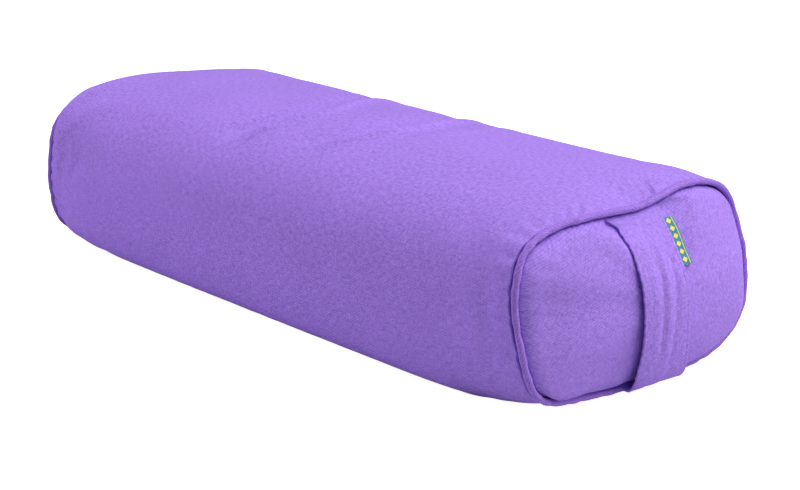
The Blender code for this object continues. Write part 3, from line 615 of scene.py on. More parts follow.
def cloth_group():
    """Woven cloth: twill ribs, the yarns across them and slubs along both yarns."""
    if "Woven cloth" in bpy.data.node_groups:
        return bpy.data.node_groups["Woven cloth"]
    group, given, made = new_group("Woven cloth", [
        ("Vector", "NodeSocketVector", None),
        ("Rib Pitch", "NodeSocketFloat", 1.7 * MM),
        ("Rib Slant", "NodeSocketFloat", math.radians(35)),
        ("Rib Share", "NodeSocketFloat", 0.4),
    ], [("Shade", "NodeSocketFloat"), ("Height", "NodeSocketFloat")])

    def times(first, second):
        return calc(group, "MULTIPLY", first, second)

    def plus(first, second):
        return calc(group, "ADD", first, second)

    def sine(value):
        return calc(group, "SINE", value)

    place = add(group, "ShaderNodeSeparateXYZ", {0: given["Vector"]}).outputs
    lengthwise = calc(group, "COSINE", given["Rib Slant"])
    sideways = sine(given["Rib Slant"])
    across = plus(times(place[0], lengthwise), times(place[1], sideways))
    along = calc(group, "SUBTRACT", times(place[1], lengthwise), times(place[0], sideways))
    drift = noise(group, given["Vector"], RIB_DRIFT_SCALE, 2.0)
    ribs = plus(calc(group, "DIVIDE", across, given["Rib Pitch"]), times(drift, RIB_DRIFT))
    rib = calc(group, "MULTIPLY_ADD", sine(times(ribs, 2 * math.pi)), 0.5, 0.5)
    yarns = calc(group, "DIVIDE", along, times(given["Rib Pitch"], YARN_PITCH_SHARE))
    yarn = calc(group, "ABSOLUTE", sine(times(yarns, math.pi)))
    shades = [
        noise(group, stretched(group, given["Vector"], scale), 1.0, 2.5, 0.6) for scale in SLUB_SCALES
    ]
    slub = times(plus(*shades), 0.5)
    strong = calc(group, "MULTIPLY_ADD", slub, SLUB_CONTRAST, SLUB_OFFSET)
    rib_part = times(calc(group, "SUBTRACT", rib, 0.5), given["Rib Share"])
    shade = add(group, "ShaderNodeClamp", {0: plus(strong, rib_part)}).outputs[0]
    height = plus(times(rib, RIB_HEIGHT_SHARE), times(yarn, YARN_HEIGHT_SHARE))
    height = plus(height, times(slub, SLUB_HEIGHT_SHARE))
    group.links.new(shade, made["Shade"])
    group.links.new(height, made["Height"])
    return group


def wear_group():
    """Slow unevenness of dye and handling, with a few paler rubbed places."""
    if "Handled surface" in bpy.data.node_groups:
        return bpy.data.node_groups["Handled surface"]
    group, given, made = new_group("Handled surface", [
        ("Vector", "NodeSocketVector", None),
        ("Patch Size", "NodeSocketFloat", 60 * MM),
    ], [("Unevenness", "NodeSocketFloat"), ("Rubbed", "NodeSocketFloat")])
    scale = calc(group, "DIVIDE", 1.0, given["Patch Size"])
    slow = noise(group, given["Vector"], scale, 3.0)
    quick = noise(group, given["Vector"], calc(group, "MULTIPLY", scale, 5.0), 4.0, 0.65)
    rubbed = ranged(group, quick, 0.0, 1.0, From_Min=0.6, From_Max=0.78)
    group.links.new(slow, made["Unevenness"])
    group.links.new(rubbed, made["Rubbed"])
    return group


def worn(tree, place, patch=None):
    """Outputs of the handled-surface group on a place, with patches of a size."""
    wear = add(tree, "ShaderNodeGroup", node_tree=wear_group())
    tree.links.new(place, wear.inputs["Vector"])
    if patch is not None:
        wear.inputs["Patch Size"].default_value = patch
    return wear.outputs


def blend_color(tree, factor, first, second, kind="MIX"):
    """Output of a colour Mix node."""
    node = add(tree, "ShaderNodeMix", {0: factor, 6: first, 7: second}, data_type="RGBA", blend_type=kind)
    return node.outputs[2]


def new_material(name, roughness=0.8, metallic=0.0, **constants):
    """Material with one Principled shader, and its tree."""
    made = bpy.data.materials.new(name)
    made.use_nodes = True
    shader = made.node_tree.nodes["Principled BSDF"]
    shader.inputs["Roughness"].default_value = roughness
    shader.inputs["Metallic"].default_value = metallic
    for label, value in constants.items():
        shader.inputs[label.replace("_", " ")].default_value = value
    return made, made.node_tree, shader


UNEVENNESS = 0.03
RUBBED_SHARE = 0.12

# Cloths by name: slant of the ribs in degrees, how much the ribs show, height of the weave in
# millimetres, and sheen
CLOTHS = {
    "cover twill": (52, 0.35, 0.35, 0.3),
    "piping twill": (48, 0.7, 0.22, 0.3),
    "cotton cord": (30, 0.5, 0.3, 0.3),
    "handle twill": (-38, 0.12, 0.22, 0.3),
    "label ribbon": (90, 0.6, 0.15, 0.1),
    "zip tape": (60, 0.8, 0.25, 0.1),
    "calico": (0, 0.5, 0.2, 0.1),
    "cotton batting": (20, 0.2, 1.2, 0.4),
}


def cloth_material(name, light, dark, pitch):
    """Woven cloth on the piece's own weave coordinates."""
    slant, rib_share, depth, sheen = CLOTHS[name]
    made, tree, shader = new_material(
        name, 0.82, Sheen_Weight=sheen, Sheen_Roughness=0.45, Sheen_Tint=(*light, 1.0),
        Specular_IOR_Level=0.25,
    )
    place = add(tree, "ShaderNodeUVMap", uv_map="weave").outputs[0]
    cloth = add(tree, "ShaderNodeGroup", node_tree=cloth_group())
    tree.links.new(place, cloth.inputs["Vector"])
    cloth.inputs["Rib Pitch"].default_value = pitch
    cloth.inputs["Rib Slant"].default_value = math.radians(slant)
    cloth.inputs["Rib Share"].default_value = rib_share
    wear = worn(tree, add(tree, "ShaderNodeTexCoord").outputs["Object"])
    color = blend_color(tree, cloth.outputs["Shade"], (*dark, 1.0), (*light, 1.0))
    level = ranged(tree, wear["Unevenness"], 1 - UNEVENNESS, 1 + UNEVENNESS, From_Min=0.3, From_Max=0.7)
    tone = add(tree, "ShaderNodeHueSaturation", {"Value": level, "Color": color}).outputs[0]
    rubbed = calc(tree, "MULTIPLY", wear["Rubbed"], RUBBED_SHARE)
    tree.links.new(blend_color(tree, rubbed, tone, (*light, 1.0)), shader.inputs["Base Color"])
    tree.links.new(ranged(tree, cloth.outputs["Shade"], 0.9, 0.72), shader.inputs["Roughness"])
    raised(tree, shader, cloth.outputs["Height"], 0.8, depth * MM)
    return made


def raised(tree, shader, height, strength, depth):
    """Sets a bump of a height on a shader."""
    bump = add(tree, "ShaderNodeBump", {"Height": height, "Strength": strength, "Distance": depth})
    tree.links.new(bump.outputs[0], shader.inputs["Normal"])


def darker(color, share):
    return tuple(part * share for part in color)


def dress(made, material):
    """Gives a piece its material."""
    made.data.materials.clear()
    made.data.materials.append(material)
    for polygon in made.data.polygons:
        polygon.material_index = 0
    return made


# Settings


class CoverSettings(bpy.types.PropertyGroup):
    """Cover cloth of the body and the two ends."""
    light_yarn: FloatVectorProperty(
        name="Light yarn", description="Colour of the paler purple yarns", subtype="COLOR",
        default=(0.47, 0.285, 0.93), min=0.0, max=1.0,
    )
    dark_yarn: FloatVectorProperty(
        name="Dark yarn", description="Colour of the deeper purple yarns", subtype="COLOR",
        default=(0.305, 0.165, 0.71), min=0.0, max=1.0,
    )
    rib_pitch: FloatProperty(
        name="Rib pitch", description="Distance between two twill ribs",
        default=1.7 * MM, min=0.3 * MM, max=5 * MM, unit="LENGTH", precision=5,
    )
    slack: FloatProperty(
        name="Slack", description="How much larger the cloth is cut than the filling needs",
        default=0.014, min=0.0, max=0.1, subtype="FACTOR",
    )
    fold_height: FloatProperty(
        name="Fold height", description="Height of the soft folds across the top, as a factor",
        default=1.0, min=0.0, max=3.0,
    )
    seed: IntProperty(name="Seed", description="Seed of the small puckers", default=7, min=0)


class PipingSettings(bpy.types.PropertyGroup):
    """Piping in the two end seams."""
    light_yarn: FloatVectorProperty(
        name="Light yarn", description="Colour of the paler yarns of the bias strip", subtype="COLOR",
        default=(0.40, 0.23, 0.80), min=0.0, max=1.0,
    )
    dark_yarn: FloatVectorProperty(
        name="Dark yarn", description="Colour of the deeper yarns of the bias strip", subtype="COLOR",
        default=(0.27, 0.13, 0.62), min=0.0, max=1.0,
    )
    ridge_pitch: FloatProperty(
        name="Ridge pitch", description="Distance between the slanting ridges of the bias strip",
        default=2.4 * MM, min=0.5 * MM, max=8 * MM, unit="LENGTH", precision=5,
    )


class HandleSettings(bpy.types.PropertyGroup):
    """Carry handle and its label tab."""
    crease_height: FloatProperty(
        name="Crease height", description="Height of the soft lengthwise creases",
        default=1.35 * MM, min=0.0, max=4 * MM, unit="LENGTH", precision=5,
    )
    stitch_inset: FloatProperty(
        name="Stitch inset", description="Distance of the stitch rows from the strap's edges",
        default=3.0 * MM, min=1 * MM, max=10 * MM, unit="LENGTH", precision=5,
    )
    label_color: FloatVectorProperty(
        name="Label", description="Colour of the label tab's ground", subtype="COLOR",
        default=(0.10, 0.30, 0.44), min=0.0, max=1.0,
    )
    motif_color: FloatVectorProperty(
        name="Motif", description="Colour of the label tab's plain woven motif", subtype="COLOR",
        default=(0.90, 0.82, 0.16), min=0.0, max=1.0,
    )


class ZipSettings(bpy.types.PropertyGroup):
    """Zip along the back."""
    coil_pitch: FloatProperty(
        name="Coil pitch", description="Distance between two turns of the nylon coil",
        default=1.6 * MM, min=0.8 * MM, max=5 * MM, unit="LENGTH", precision=5,
    )
    tape_color: FloatVectorProperty(
        name="Tape", description="Colour of the woven tapes", subtype="COLOR",
        default=(0.22, 0.10, 0.52), min=0.0, max=1.0,
    )


class StitchSettings(bpy.types.PropertyGroup):
    """Sewing thread."""
    pitch: FloatProperty(
        name="Stitch pitch", description="Distance between two stitches",
        default=3.0 * MM, min=1 * MM, max=10 * MM, unit="LENGTH", precision=5,
    )
    length: FloatProperty(
        name="Stitch length", description="Visible length of a stitch",
        default=2.3 * MM, min=0.5 * MM, max=10 * MM, unit="LENGTH", precision=5,
    )
    thread: FloatProperty(
        name="Thread", description="Width of the thread",
        default=0.45 * MM, min=0.1 * MM, max=2 * MM, unit="LENGTH", precision=5,
    )
    color: FloatVectorProperty(
        name="Colour", description="Colour of the thread", subtype="COLOR",
        default=(0.38, 0.21, 0.80), min=0.0, max=1.0,
    )


class StageSettings(bpy.types.PropertyGroup):
    """Floor, lights and camera."""
    floor_color: FloatVectorProperty(
        name="Floor", description="Colour of the floor", subtype="COLOR",
        default=(0.70, 0.70, 0.71), min=0.0, max=1.0,
    )
    floor_glow: FloatProperty(
        name="Floor glow", description="Light that the floor gives to the camera alone",
        default=0.95, min=0.0,
    )
    key_power: FloatProperty(
        name="Key light", description="Power of the large light overhead",
        default=107.0, min=0.0, unit="POWER",
    )
    fill_power: FloatProperty(
        name="Fill light", description="Power of the light on the handle's end",
        default=18.0, min=0.0, unit="POWER",
    )
    front_power: FloatProperty(
        name="Front light", description="Power of the light on the long front side",
        default=53.0, min=0.0, unit="POWER",
    )
    sky_strength: FloatProperty(
        name="Surround", description="Strength of the pale surround", default=0.06, min=0.0,
    )


SETTINGS = {
    "bolster_cover": CoverSettings,
    "bolster_piping": PipingSettings,
    "bolster_handle": HandleSettings,
    "bolster_zip": ZipSettings,
    "bolster_stitch": StitchSettings,
    "bolster_stage": StageSettings,
}


def cover_material():
    if "cover twill" in bpy.data.materials:
        return bpy.data.materials["cover twill"]
    given = bpy.context.scene.bolster_cover
    return cloth_material("cover twill", given.light_yarn, given.dark_yarn, given.rib_pitch)


# Cover


def stations():
    """Stations of the cover's coarse rows: closer under the folds and beside the seams, and one at
    each end of the slot."""
    half_slot = SLOT_LENGTH / 2
    folded = np.linspace(0.0, FOLD_ZONE, round(FOLD_ZONE / FOLD_STEP) + 1)
    plain = np.linspace(FOLD_ZONE, half_slot, round((half_slot - FOLD_ZONE) / STATION_STEP) + 1)
    middle = np.concatenate([folded, plain[1:]])
    start = SEAM_STATION - SEAM_ZONE
    between_rows = np.linspace(half_slot, start, max(round((start - half_slot) / STATION_STEP), 1) + 1)
    edge = np.linspace(start, SEAM_STATION, round(SEAM_ZONE / SEAM_STEP) + 1)
    half = np.concatenate([middle, between_rows[1:], edge[1:]])
    return np.concatenate([-half[:0:-1], half])


def back_angle(level):
    """Angle of the point at a level in the middle of the back."""
    levels = section(0.0, FINE_ANGLES)[0]
    back = FINE_ANGLES > 1.5 * math.pi
    return np.interp(level, levels[back, 2], FINE_ANGLES[back])


def slot_angles():
    """Angles of the slot's lower and upper edges in the middle of the back."""
    edges = (ZIP_LEVEL - SLOT_HEIGHT / 2, ZIP_LEVEL + SLOT_HEIGHT / 2)
    return [float(back_angle(level)) - 2 * math.pi for level in edges]


def girths(rows):
    """Length round each row of points, seen along the body, up to each of them."""
    steps = np.linalg.norm(np.diff(rows[..., 1:], axis=1), axis=-1)
    return np.concatenate([np.zeros((len(rows), 1)), np.cumsum(steps, axis=1)], axis=1)


def girth_angles(x, fine=False):
    """Angles of the lengthwise lines at stations x: first from the slot's upper edge over the top and
    round to its lower edge, at even distances, then across the slot."""
    low, high = slot_angles()
    share = 2 if fine else 1
    dense = np.linspace(high, low + 2 * math.pi, len(FINE_ANGLES))
    run = girths(section(np.asarray(x)[:, None], dense[None, :])[0])
    even = np.linspace(0.0, 1.0, GIRTH_COLUMNS * share + 1)
    over = np.stack([np.interp(even * row[-1], row, dense) for row in run])
    slot = np.linspace(low + 2 * math.pi, high + 2 * math.pi, SLOT_COLUMNS * share + 1)[1:-1]
    return np.concatenate([over, np.tile(slot, (len(x), 1))], axis=1)


def fold_lift(points, height):
    """Lift of the soft folds that run across the top."""
    along, across = points[..., 0] - MIDDLE.x, points[..., 1] - MIDDLE.y
    lift = np.zeros(along.shape)
    for line, crest, trough in TOP_FOLDS:
        line = np.array(line, float) * MM
        first, last = line[0, 1], line[-1, 1]
        steps = np.linspace(0.0, 1.0, len(line))
        dense = np.linspace(0.0, 1.0, FOLD_STEPS)
        course = np.stack([smooth_line(steps, line[:, k], dense) for k in range(2)], -1)
        off = along - np.interp(across, course[:, 1], course[:, 0])
        ends = smooth(first, first + FOLD_RISE, across)
        ends *= 1 - FOLD_SINK_SHARE * smooth(last - FOLD_SINK, last - FOLD_FADE, across)
        ends *= 1 - smooth(last - FOLD_FADE, last, across)
        front = np.exp(-np.maximum(off, 0.0) / FOLD_FRONT)
        back = 1 / np.cosh(np.minimum(off, 0.0) / FOLD_BACK)
        front = mix(front, 1 / np.cosh(off / FOLD_CREST), FOLD_CREST_SHARE)
        shape = crest * MM * np.where(off > 0, front, back)
        shape -= trough * MM * np.exp(-((off + FOLD_TROUGH) / FOLD_TROUGH_WIDTH) ** 2)
        lift += height * shape * ends
    return lift


def pucker_list(end, seed):
    """Puckers of one seam: run, half width, reach, depth and slant."""
    rng = np.random.default_rng(seed + (1 if end > 0 else 2))
    found = [(*(size * MM for size in sizes), slant) for *sizes, slant in NEAR_PUCKERS]
    if end < 0:
        found = [(SEAM_GIRTH - run, *rest) for run, *rest in found]
    for _ in range(RANDOM_PUCKERS):
        run = rng.uniform(0.0, SEAM_GIRTH)
        sizes = [rng.uniform(*limits) * MM for limits in PUCKER_SIZES]
        found.append((run, *sizes, rng.uniform(-PUCKER_SLANT, PUCKER_SLANT)))
    return found


def pucker_lift(run, distance, end, seed):
    """Dents of the puckers at a distance from a seam, with the cloth rising between them."""
    lift = np.zeros(np.broadcast(run, distance).shape)
    opened = mix(PUCKER_SEAM_SHARE, 1.0, smooth(0.0, PUCKER_FULL, distance))
    for place, width, reach, depth, slant in pucker_list(end, seed):
        apart = np.mod(run - place - slant * distance + SEAM_GIRTH / 2, SEAM_GIRTH) - SEAM_GIRTH / 2
        fade = np.clip(1 - distance / reach, 0.0, 1.0) ** PUCKER_FADE_POWER * opened
        grown = width * (1 + distance / reach)
        rise = PUCKER_RISE_SHARE * np.exp(-((apart - PUCKER_RISE_PLACE * grown) / grown) ** 2)
        lift += depth * fade * (rise - np.exp(-(apart / grown) ** 2))
    return lift


def cover_body():
    given = bpy.context.scene.bolster_cover
    coarse_x = stations()
    coarse_angle = girth_angles(coarse_x)
    full, normals = skin(coarse_x[:, None], coarse_angle)
    count = full.shape[1]
    quads, _ = grid_quads(len(coarse_x), count, around=True)
    held = np.zeros(full.shape[:2])
    held[0] = held[-1] = 1.0
    in_slot = np.abs(coarse_x) < SLOT_LENGTH / 2 + STATION_STEP
    zip_columns = np.r_[0:3, GIRTH_COLUMNS - 2:count]
    held[np.ix_(in_slot, zip_columns)] = 1.0
    held[full[..., 2] < FOOT_HELD] = 1.0
    beside = 1 - smooth(0.0, SEAM_HELD, SEAM_STATION - np.abs(coarse_x))[:, None]
    held = np.maximum(held, SEAM_HELD_SHARE * beside * np.ones_like(held))
    move = settled_by_filling(
        "cover_body_skin", full, normals, quads, held, given.slack, BODY_MOVE, BODY_START, given.seed,
        around=True,
    )
    fine_x = between(coarse_x)
    fine_angle = girth_angles(fine_x, fine=True)
    outer, fine_normals = skin(fine_x[:, None], fine_angle)
    outer = outer + finer(move, around=True)
    run = seam_run(fine_angle)
    outer[..., 2] += fold_lift(outer, given.fold_height) * smooth(*FOLD_SLOPES, fine_normals[..., 2])
    for end in (-1, 1):
        distance = np.maximum(SEAM_STATION - end * fine_x, 0.0)[:, None] * np.ones_like(run)
        outer += fine_normals * pucker_lift(run, distance, end, given.seed)[..., None]
        back = listed(GROOVE, run) if end > 0 else FAR_GROOVE
        outer[..., 0] -= end * back * np.clip(1 - distance / GROOVE_REACH, 0.0, 1.0) ** GROOVE_POWER
    from_far = np.maximum(SEAM_STATION + fine_x, 0.0)[:, None]
    bulge = swelled(from_far, 0.0, BULGE_FULL, BULGE_STOP, BULGE_TAIL) * listed(FAR_BULGE, run)
    outer += fine_normals * bulge[..., None]
    outer[..., 2] = np.maximum(outer[..., 2], 0.0)
    inner = outer[::2, ::2] - fine_normals[::2, ::2] * COVER_CLOTH
    inner[..., 2] = np.maximum(inner[..., 2], COVER_CLOTH)
    return cover_mesh(fine_x, outer, fine_normals, inner)


def turned_in(end, row, normals):
    """Rows that turn the cover's edge into the seam, beside the piping."""
    rows = []
    for back, depth in EDGE_TURN:
        turned = row - normals * depth * MM
        turned[:, 0] += end * back * MM
        rows.append(turned)
    return rows


def cover_mesh(fine_x, outer, normals, inner):
    """Closed cloth: fine outside, coarse inside, turned in at both seams and hemmed round the slot."""
    columns = outer.shape[1]
    first = turned_in(-1, outer[0], normals[0])
    last = turned_in(1, outer[-1], normals[-1])
    outer[0, :, 0] += EDGE_PULL
    outer[-1, :, 0] -= EDGE_PULL
    rows = np.concatenate([np.array(first[::-1]), outer, np.array(last)])
    extra = len(first)
    over = girths(np.concatenate([rows, rows[:, :1]], axis=1))
    over = mix(over, np.tile(over[len(rows) // 2], (len(rows), 1)), 0.5)
    length = runs(rows.mean(axis=1))
    uv_grid = np.stack([np.tile(length[:, None], (1, columns + 1)), over], axis=-1)
    slot_rows = np.flatnonzero(np.abs(fine_x) < SLOT_LENGTH / 2 + 1e-6) + extra
    low_row, high_row = slot_rows[0], slot_rows[-1]
    first_column = 2 * GIRTH_COLUMNS
    quads, places = grid_quads(len(rows), columns, around=True)
    kept = out_of_slot(places, low_row, high_row, first_column)
    quads, places = quads[kept], places[kept]
    start = len(rows) * columns
    half_columns = columns // 2
    inner_quads, inner_places = grid_quads(len(inner), half_columns, around=True)
    kept = out_of_slot(inner_places, (low_row - extra) // 2, (high_row - extra) // 2, GIRTH_COLUMNS)
    faces = quads.tolist() + (inner_quads[kept][:, ::-1] + start).tolist()
    rim = [(row, first_column) for row in range(low_row, high_row)]
    rim += [(high_row, column) for column in range(first_column, columns)]
    rim += [(row, columns) for row in range(high_row, low_row, -1)]
    rim += [(low_row, column) for column in range(columns, first_column, -1)]
    fine_rim = [int(row * columns + column % columns) for row, column in rim]
    inner_rim = [
        int(start + ((row - extra) // 2) * half_columns + (column // 2) % half_columns)
        for row, column in rim[::2]
    ]
    fine_ring, inner_ring = range(columns), range(start, start + half_columns)
    fine_jump, inner_jump = (len(rows) - 1) * columns, (len(inner) - 1) * half_columns
    faces += two_to_one(fine_ring, inner_ring)
    faces += two_to_one([i + fine_jump for i in fine_ring], [i + inner_jump for i in inner_ring])
    faces += two_to_one(fine_rim, inner_rim)
    points = np.concatenate([rows.reshape(-1, 3), inner.reshape(-1, 3)])
    return face_out(make_mesh("cover_body_skin", points, faces, corner_values(uv_grid, places), len(quads)))


def out_of_slot(places, low_row, high_row, first_column):
    """Which faces of the cover's grid don't lie in the slot."""
    row, column = places[:, 0, 0], places[:, 0, 1]
    return (row < low_row) | (row >= high_row) | (column < first_column)


class BOLSTER_OT_cover_body(bpy.types.Operator):
    """Sew the wrap round the body, with its puckers, folds and the zip's slot"""
    bl_idname = "bolster.cover_body"
    bl_label = "Cover body"

    def execute(self, context):
        made = dress(cover_body(), cover_material())
        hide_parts("cover_body_panel")
        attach(made, "cover")
        return {"FINISHED"}


# End panels


PANEL_SEED = 5
CROWN_STEPS = 400
CROWN_REACH_SHARE = 0.4
PANEL_REACH_SHARE = 0.35
PUCKER_EASE = 3 * MM
LIP_SHARE, INNER_LIP_SHARE = 0.6, 0.5

# How the strap and the label press the near panel in: where the strap hangs free, the room behind it,
# how the panel rises again beside it, and how far from the seam it starts at the top and at the foot
STRAP_FREE = slice(38, 345)
STRAP_CLEARANCE = 0.4 * MM
LEAST_FACING = 0.4
LABEL_EASE = 4 * MM
LABEL_PRESS = 1.2 * MM
LABEL_REACH = 10 * MM
FLARE_LEVELS = (124 * MM, 132 * MM)
FRONT_CLEARANCE = 1 * MM
BACK_SLOPE, FRONT_SLOPE = 0.26, 1.2
PRESS_SOFTNESS = 0.8 * MM
PRESS_TOP, PRESS_FOOT = (-0.5 * MM, 1.0 * MM), (1.5 * MM, 6 * MM)


def panel_perimeter():
    """Runs of the seam points round an end panel's grid, from the top's back corner and back to it."""
    across, tall = (2 * cells for cells in PANEL_CELLS)
    corners = [seam_run(corner * math.pi) for corner in (0.25, 0.75, 1.25, 1.75)]
    corners.append(corners[0] + SEAM_GIRTH)
    sides = zip(corners, corners[1:], (across, tall, across, tall))
    lines = [np.linspace(start, stop, count + 1)[:-1] for start, stop, count in sides]
    return np.concatenate([*lines, corners[-1:]])


def crown(reach):
    """How far an end panel stands out at a share of the way from its middle to its seam."""
    return (1 - reach ** CROWN_EDGE_POWER).clip(0) ** 0.5 * END_CROWN


def panel_grid(end):
    """Points of an end panel on a grid, and at each of them the run round the seam, the share of the
    way out to it and the seam's normal."""
    across, tall = (2 * cells for cells in PANEL_CELLS)
    perimeter = panel_perimeter()
    column, row = np.meshgrid(np.arange(across + 1), np.arange(tall + 1), indexing="ij")
    u, v = column / across * 2 - 1, row / tall * 2 - 1
    ring = np.maximum(np.abs(u), np.abs(v))
    safe = np.maximum(ring, 1e-9)
    side_u, side_v = u / safe, v / safe
    place = np.where(
        np.abs(v) >= np.abs(u) - 1e-12,
        np.where(v > 0, (1 - side_u) / 2 * across, across + tall + (side_u + 1) / 2 * across),
        np.where(u < 0, across + (1 - side_v) / 2 * tall, 2 * across + tall + (side_v + 1) / 2 * tall),
    )
    run = np.interp(np.mod(place, 2 * (across + tall)), np.arange(len(perimeter)), perimeter)
    angle = seam_angle(run)
    shares = np.linspace(0.0, 1.0, CROWN_STEPS) ** 0.5
    meridian = runs(np.stack([shares * BODY_WIDTH * CROWN_REACH_SHARE, crown(shares)], -1))
    reach = np.interp(ring, meridian / meridian[-1], shares)
    sunk = PANEL_DEPTH + (seam_dent(SEAM_STATION, angle) if end > 0 else 0.0)
    edge, normals = skin(end * SEAM_STATION * np.ones_like(angle), angle, sunk)
    middle = np.array([end * SEAM_STATION, 0.0, WIDEST_LEVEL]) + np.array(MIDDLE)
    points = middle + (edge - middle) * reach[..., None]
    points[..., 0] += end * crown(reach)
    return points, run, reach, normals


def grid_normals(points, end):
    """Outward normals of an end panel's grid."""
    first, second = np.gradient(points, axis=0), np.gradient(points, axis=1)
    normals = np.cross(first, second)
    normals /= np.linalg.norm(normals, axis=-1, keepdims=True)
    return normals * (np.sign(normals[..., :1]) * end)


def end_panel(name, end):
    given = bpy.context.scene.bolster_cover
    full, run, reach, seam_normals = panel_grid(end)
    normals = grid_normals(full, end)
    coarse, coarse_normals = full[::2, ::2], normals[::2, ::2]
    quads, _ = grid_quads(*coarse.shape[:2])
    held = np.zeros(coarse.shape[:2])
    held[0] = held[-1] = 1.0
    held[:, 0] = held[:, -1] = 1.0
    move = settled_by_filling(
        name, coarse, coarse_normals, quads, held, given.slack * PANEL_SLACK_FACTOR,
        PANEL_MOVE, PANEL_START, given.seed + PANEL_SEED,
    )
    outer = full + finer(move)
    from_seam = (1 - reach) * BODY_WIDTH * PANEL_REACH_SHARE
    puckers = pucker_lift(run, from_seam, end, given.seed) * PANEL_PUCKER_SHARE
    outer += normals * (puckers * smooth(0.0, PUCKER_EASE, from_seam))[..., None]
    if end > 0:
        sag = listed(PANEL_SAG, run) * swelled(from_seam, SAG_START, SAG_FULL, SAG_STOP, SAG_TAIL)
        outer += seam_normals * sag[..., None]
        high = outer[..., 2] > WIDEST_LEVEL
        edge = np.where(high, smooth(*PRESS_TOP, from_seam), smooth(*PRESS_FOOT, from_seam))
        outer[..., 0] -= strap_press(outer) * edge
    return panel_mesh(name, end, outer, normals, seam_normals)


def strap_press(points):
    """How far the strap and the label press the near panel in."""
    across, level = points[..., 1] - MIDDLE.y, points[..., 2]
    rooms = []
    for edge in (STRAP_FRONT_LINE, STRAP_BACK_LINE):
        line = edge[STRAP_FREE]
        slope = np.gradient(line, axis=0)
        facing = np.abs(slope[:, 1]) / np.linalg.norm(slope, axis=1)
        room = line[:, 0] - (STRAP_THICKNESS + STRAP_CLEARANCE) / np.maximum(facing, LEAST_FACING)
        rooms.append(np.interp(-level, -line[:, 1], room))
    room = mix(*rooms, np.clip(across / STRAP_WIDTH + 0.5, 0.0, 1.0))
    tab = smooth(LABEL_LEVELS[1] - LABEL_EASE, LABEL_LEVELS[1], level)
    room -= LABEL_PRESS * tab * smooth(STRAP_WIDTH / 2 - LABEL_TUCK, STRAP_WIDTH / 2, across)
    back_side = np.maximum(across - STRAP_WIDTH / 2 - LABEL_REACH * tab, 0.0)
    flare = STRAP_FLARE * smooth(*FLARE_LEVELS, level)
    front_side = np.maximum(-across - STRAP_WIDTH / 2 - FRONT_CLEARANCE - flare, 0.0)
    room += BACK_SLOPE * back_side + FRONT_SLOPE * front_side
    excess = (points[..., 0] - MIDDLE.x - SEAM_STATION - room) / PRESS_SOFTNESS
    return PRESS_SOFTNESS * np.log1p(np.exp(np.clip(excess, -30, 30)))


def border(across, tall):
    """Places round the edge of a grid, in order."""
    line = [(i, 0) for i in range(across)]
    line += [(across, j) for j in range(tall)]
    line += [(i, tall) for i in range(across, 0, -1)]
    line += [(0, j) for j in range(tall, 0, -1)]
    return line


def panel_mesh(name, end, outer, normals, seam_normals):
    """Closed cloth of an end panel: a lip into the seam, fine outside and coarse inside."""
    across, tall = outer.shape[0] - 1, outer.shape[1] - 1
    half_tall = tall // 2
    around = border(across, tall)
    quads, places = grid_quads(across + 1, tall + 1)
    inner_quads, _ = grid_quads(across // 2 + 1, half_tall + 1)
    lip = np.array([outer[i, j] for i, j in around])
    lip[:, 0] -= end * LIP_SHARE * SEAM_ALLOWANCE
    inner = outer[::2, ::2] - normals[::2, ::2] * COVER_CLOTH
    for i, j in around[::2]:
        inner[i // 2, j // 2] = outer[i, j] - seam_normals[i, j] * COVER_CLOTH
        inner[i // 2, j // 2, 0] -= end * INNER_LIP_SHARE * SEAM_ALLOWANCE
    lip_start = (across + 1) * (tall + 1)
    inner_start = lip_start + len(lip)
    edge = [i * (tall + 1) + j for i, j in around]
    lip_edge = list(range(lip_start, inner_start))
    inner_edge = [inner_start + (i // 2) * (half_tall + 1) + j // 2 for i, j in around[::2]]
    faces = quads.tolist() + hoop(edge, lip_edge) + (inner_quads[:, ::-1] + inner_start).tolist()
    faces += two_to_one(lip_edge, inner_edge)
    cosine, sine = math.cos(PANEL_GRAIN), math.sin(PANEL_GRAIN)
    flat = outer[..., 1:] @ np.array([[cosine, sine], [-sine, cosine]])
    edge_weave = [flat[i, j] for i, j in around]
    lip_weave = np.array(hoop(edge_weave, edge_weave)).reshape(-1, 2)
    corner = np.concatenate([corner_values(flat, places), lip_weave])
    points = np.concatenate([outer.reshape(-1, 3), lip, inner.reshape(-1, 3)])
    return face_out(make_mesh(name, points, faces, corner, len(quads)))


class BOLSTER_OT_end_panels(bpy.types.Operator):
    """Sew the two crowned end panels"""
    bl_idname = "bolster.end_panels"
    bl_label = "End panels"

    def execute(self, context):
        for side, end in (("near", 1), ("far", -1)):
            made = dress(end_panel(f"{side}_end_skin", end), cover_material())
            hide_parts(f"{side}_end_panel")
            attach(made, "cover")
        return {"FINISHED"}


# Piping


PIPING_MIDDLE, PIPING_LEVEL = PIPING_RADIUS + GAP, PIPING_RADIUS - PIPING_PROUD
PIPING_SEED = 11

# The strip opens towards the seam, and its two flanges run back into it
STRIP_STEPS = 620
STRIP_OPENING = math.radians(24)
STRIP_ANGLES = np.linspace(math.pi + 1.8 * STRIP_OPENING, -math.pi + 2.8 * STRIP_OPENING, 22)
FLANGE = (-0.8 * SEAM_ALLOWANCE, PIPING_LEVEL + 2.1 * MM)
STRIP_WAVES = 14
STRIP_WAVE_TURNS = (9, 70)
STRIP_WAVE_SIZES = (0.02, 0.08)

CORD_STEPS = 520
CORD_SIDES = 12
CORD_TWIST = 11 * MM
CORD_LOBE_SHARE = 0.13


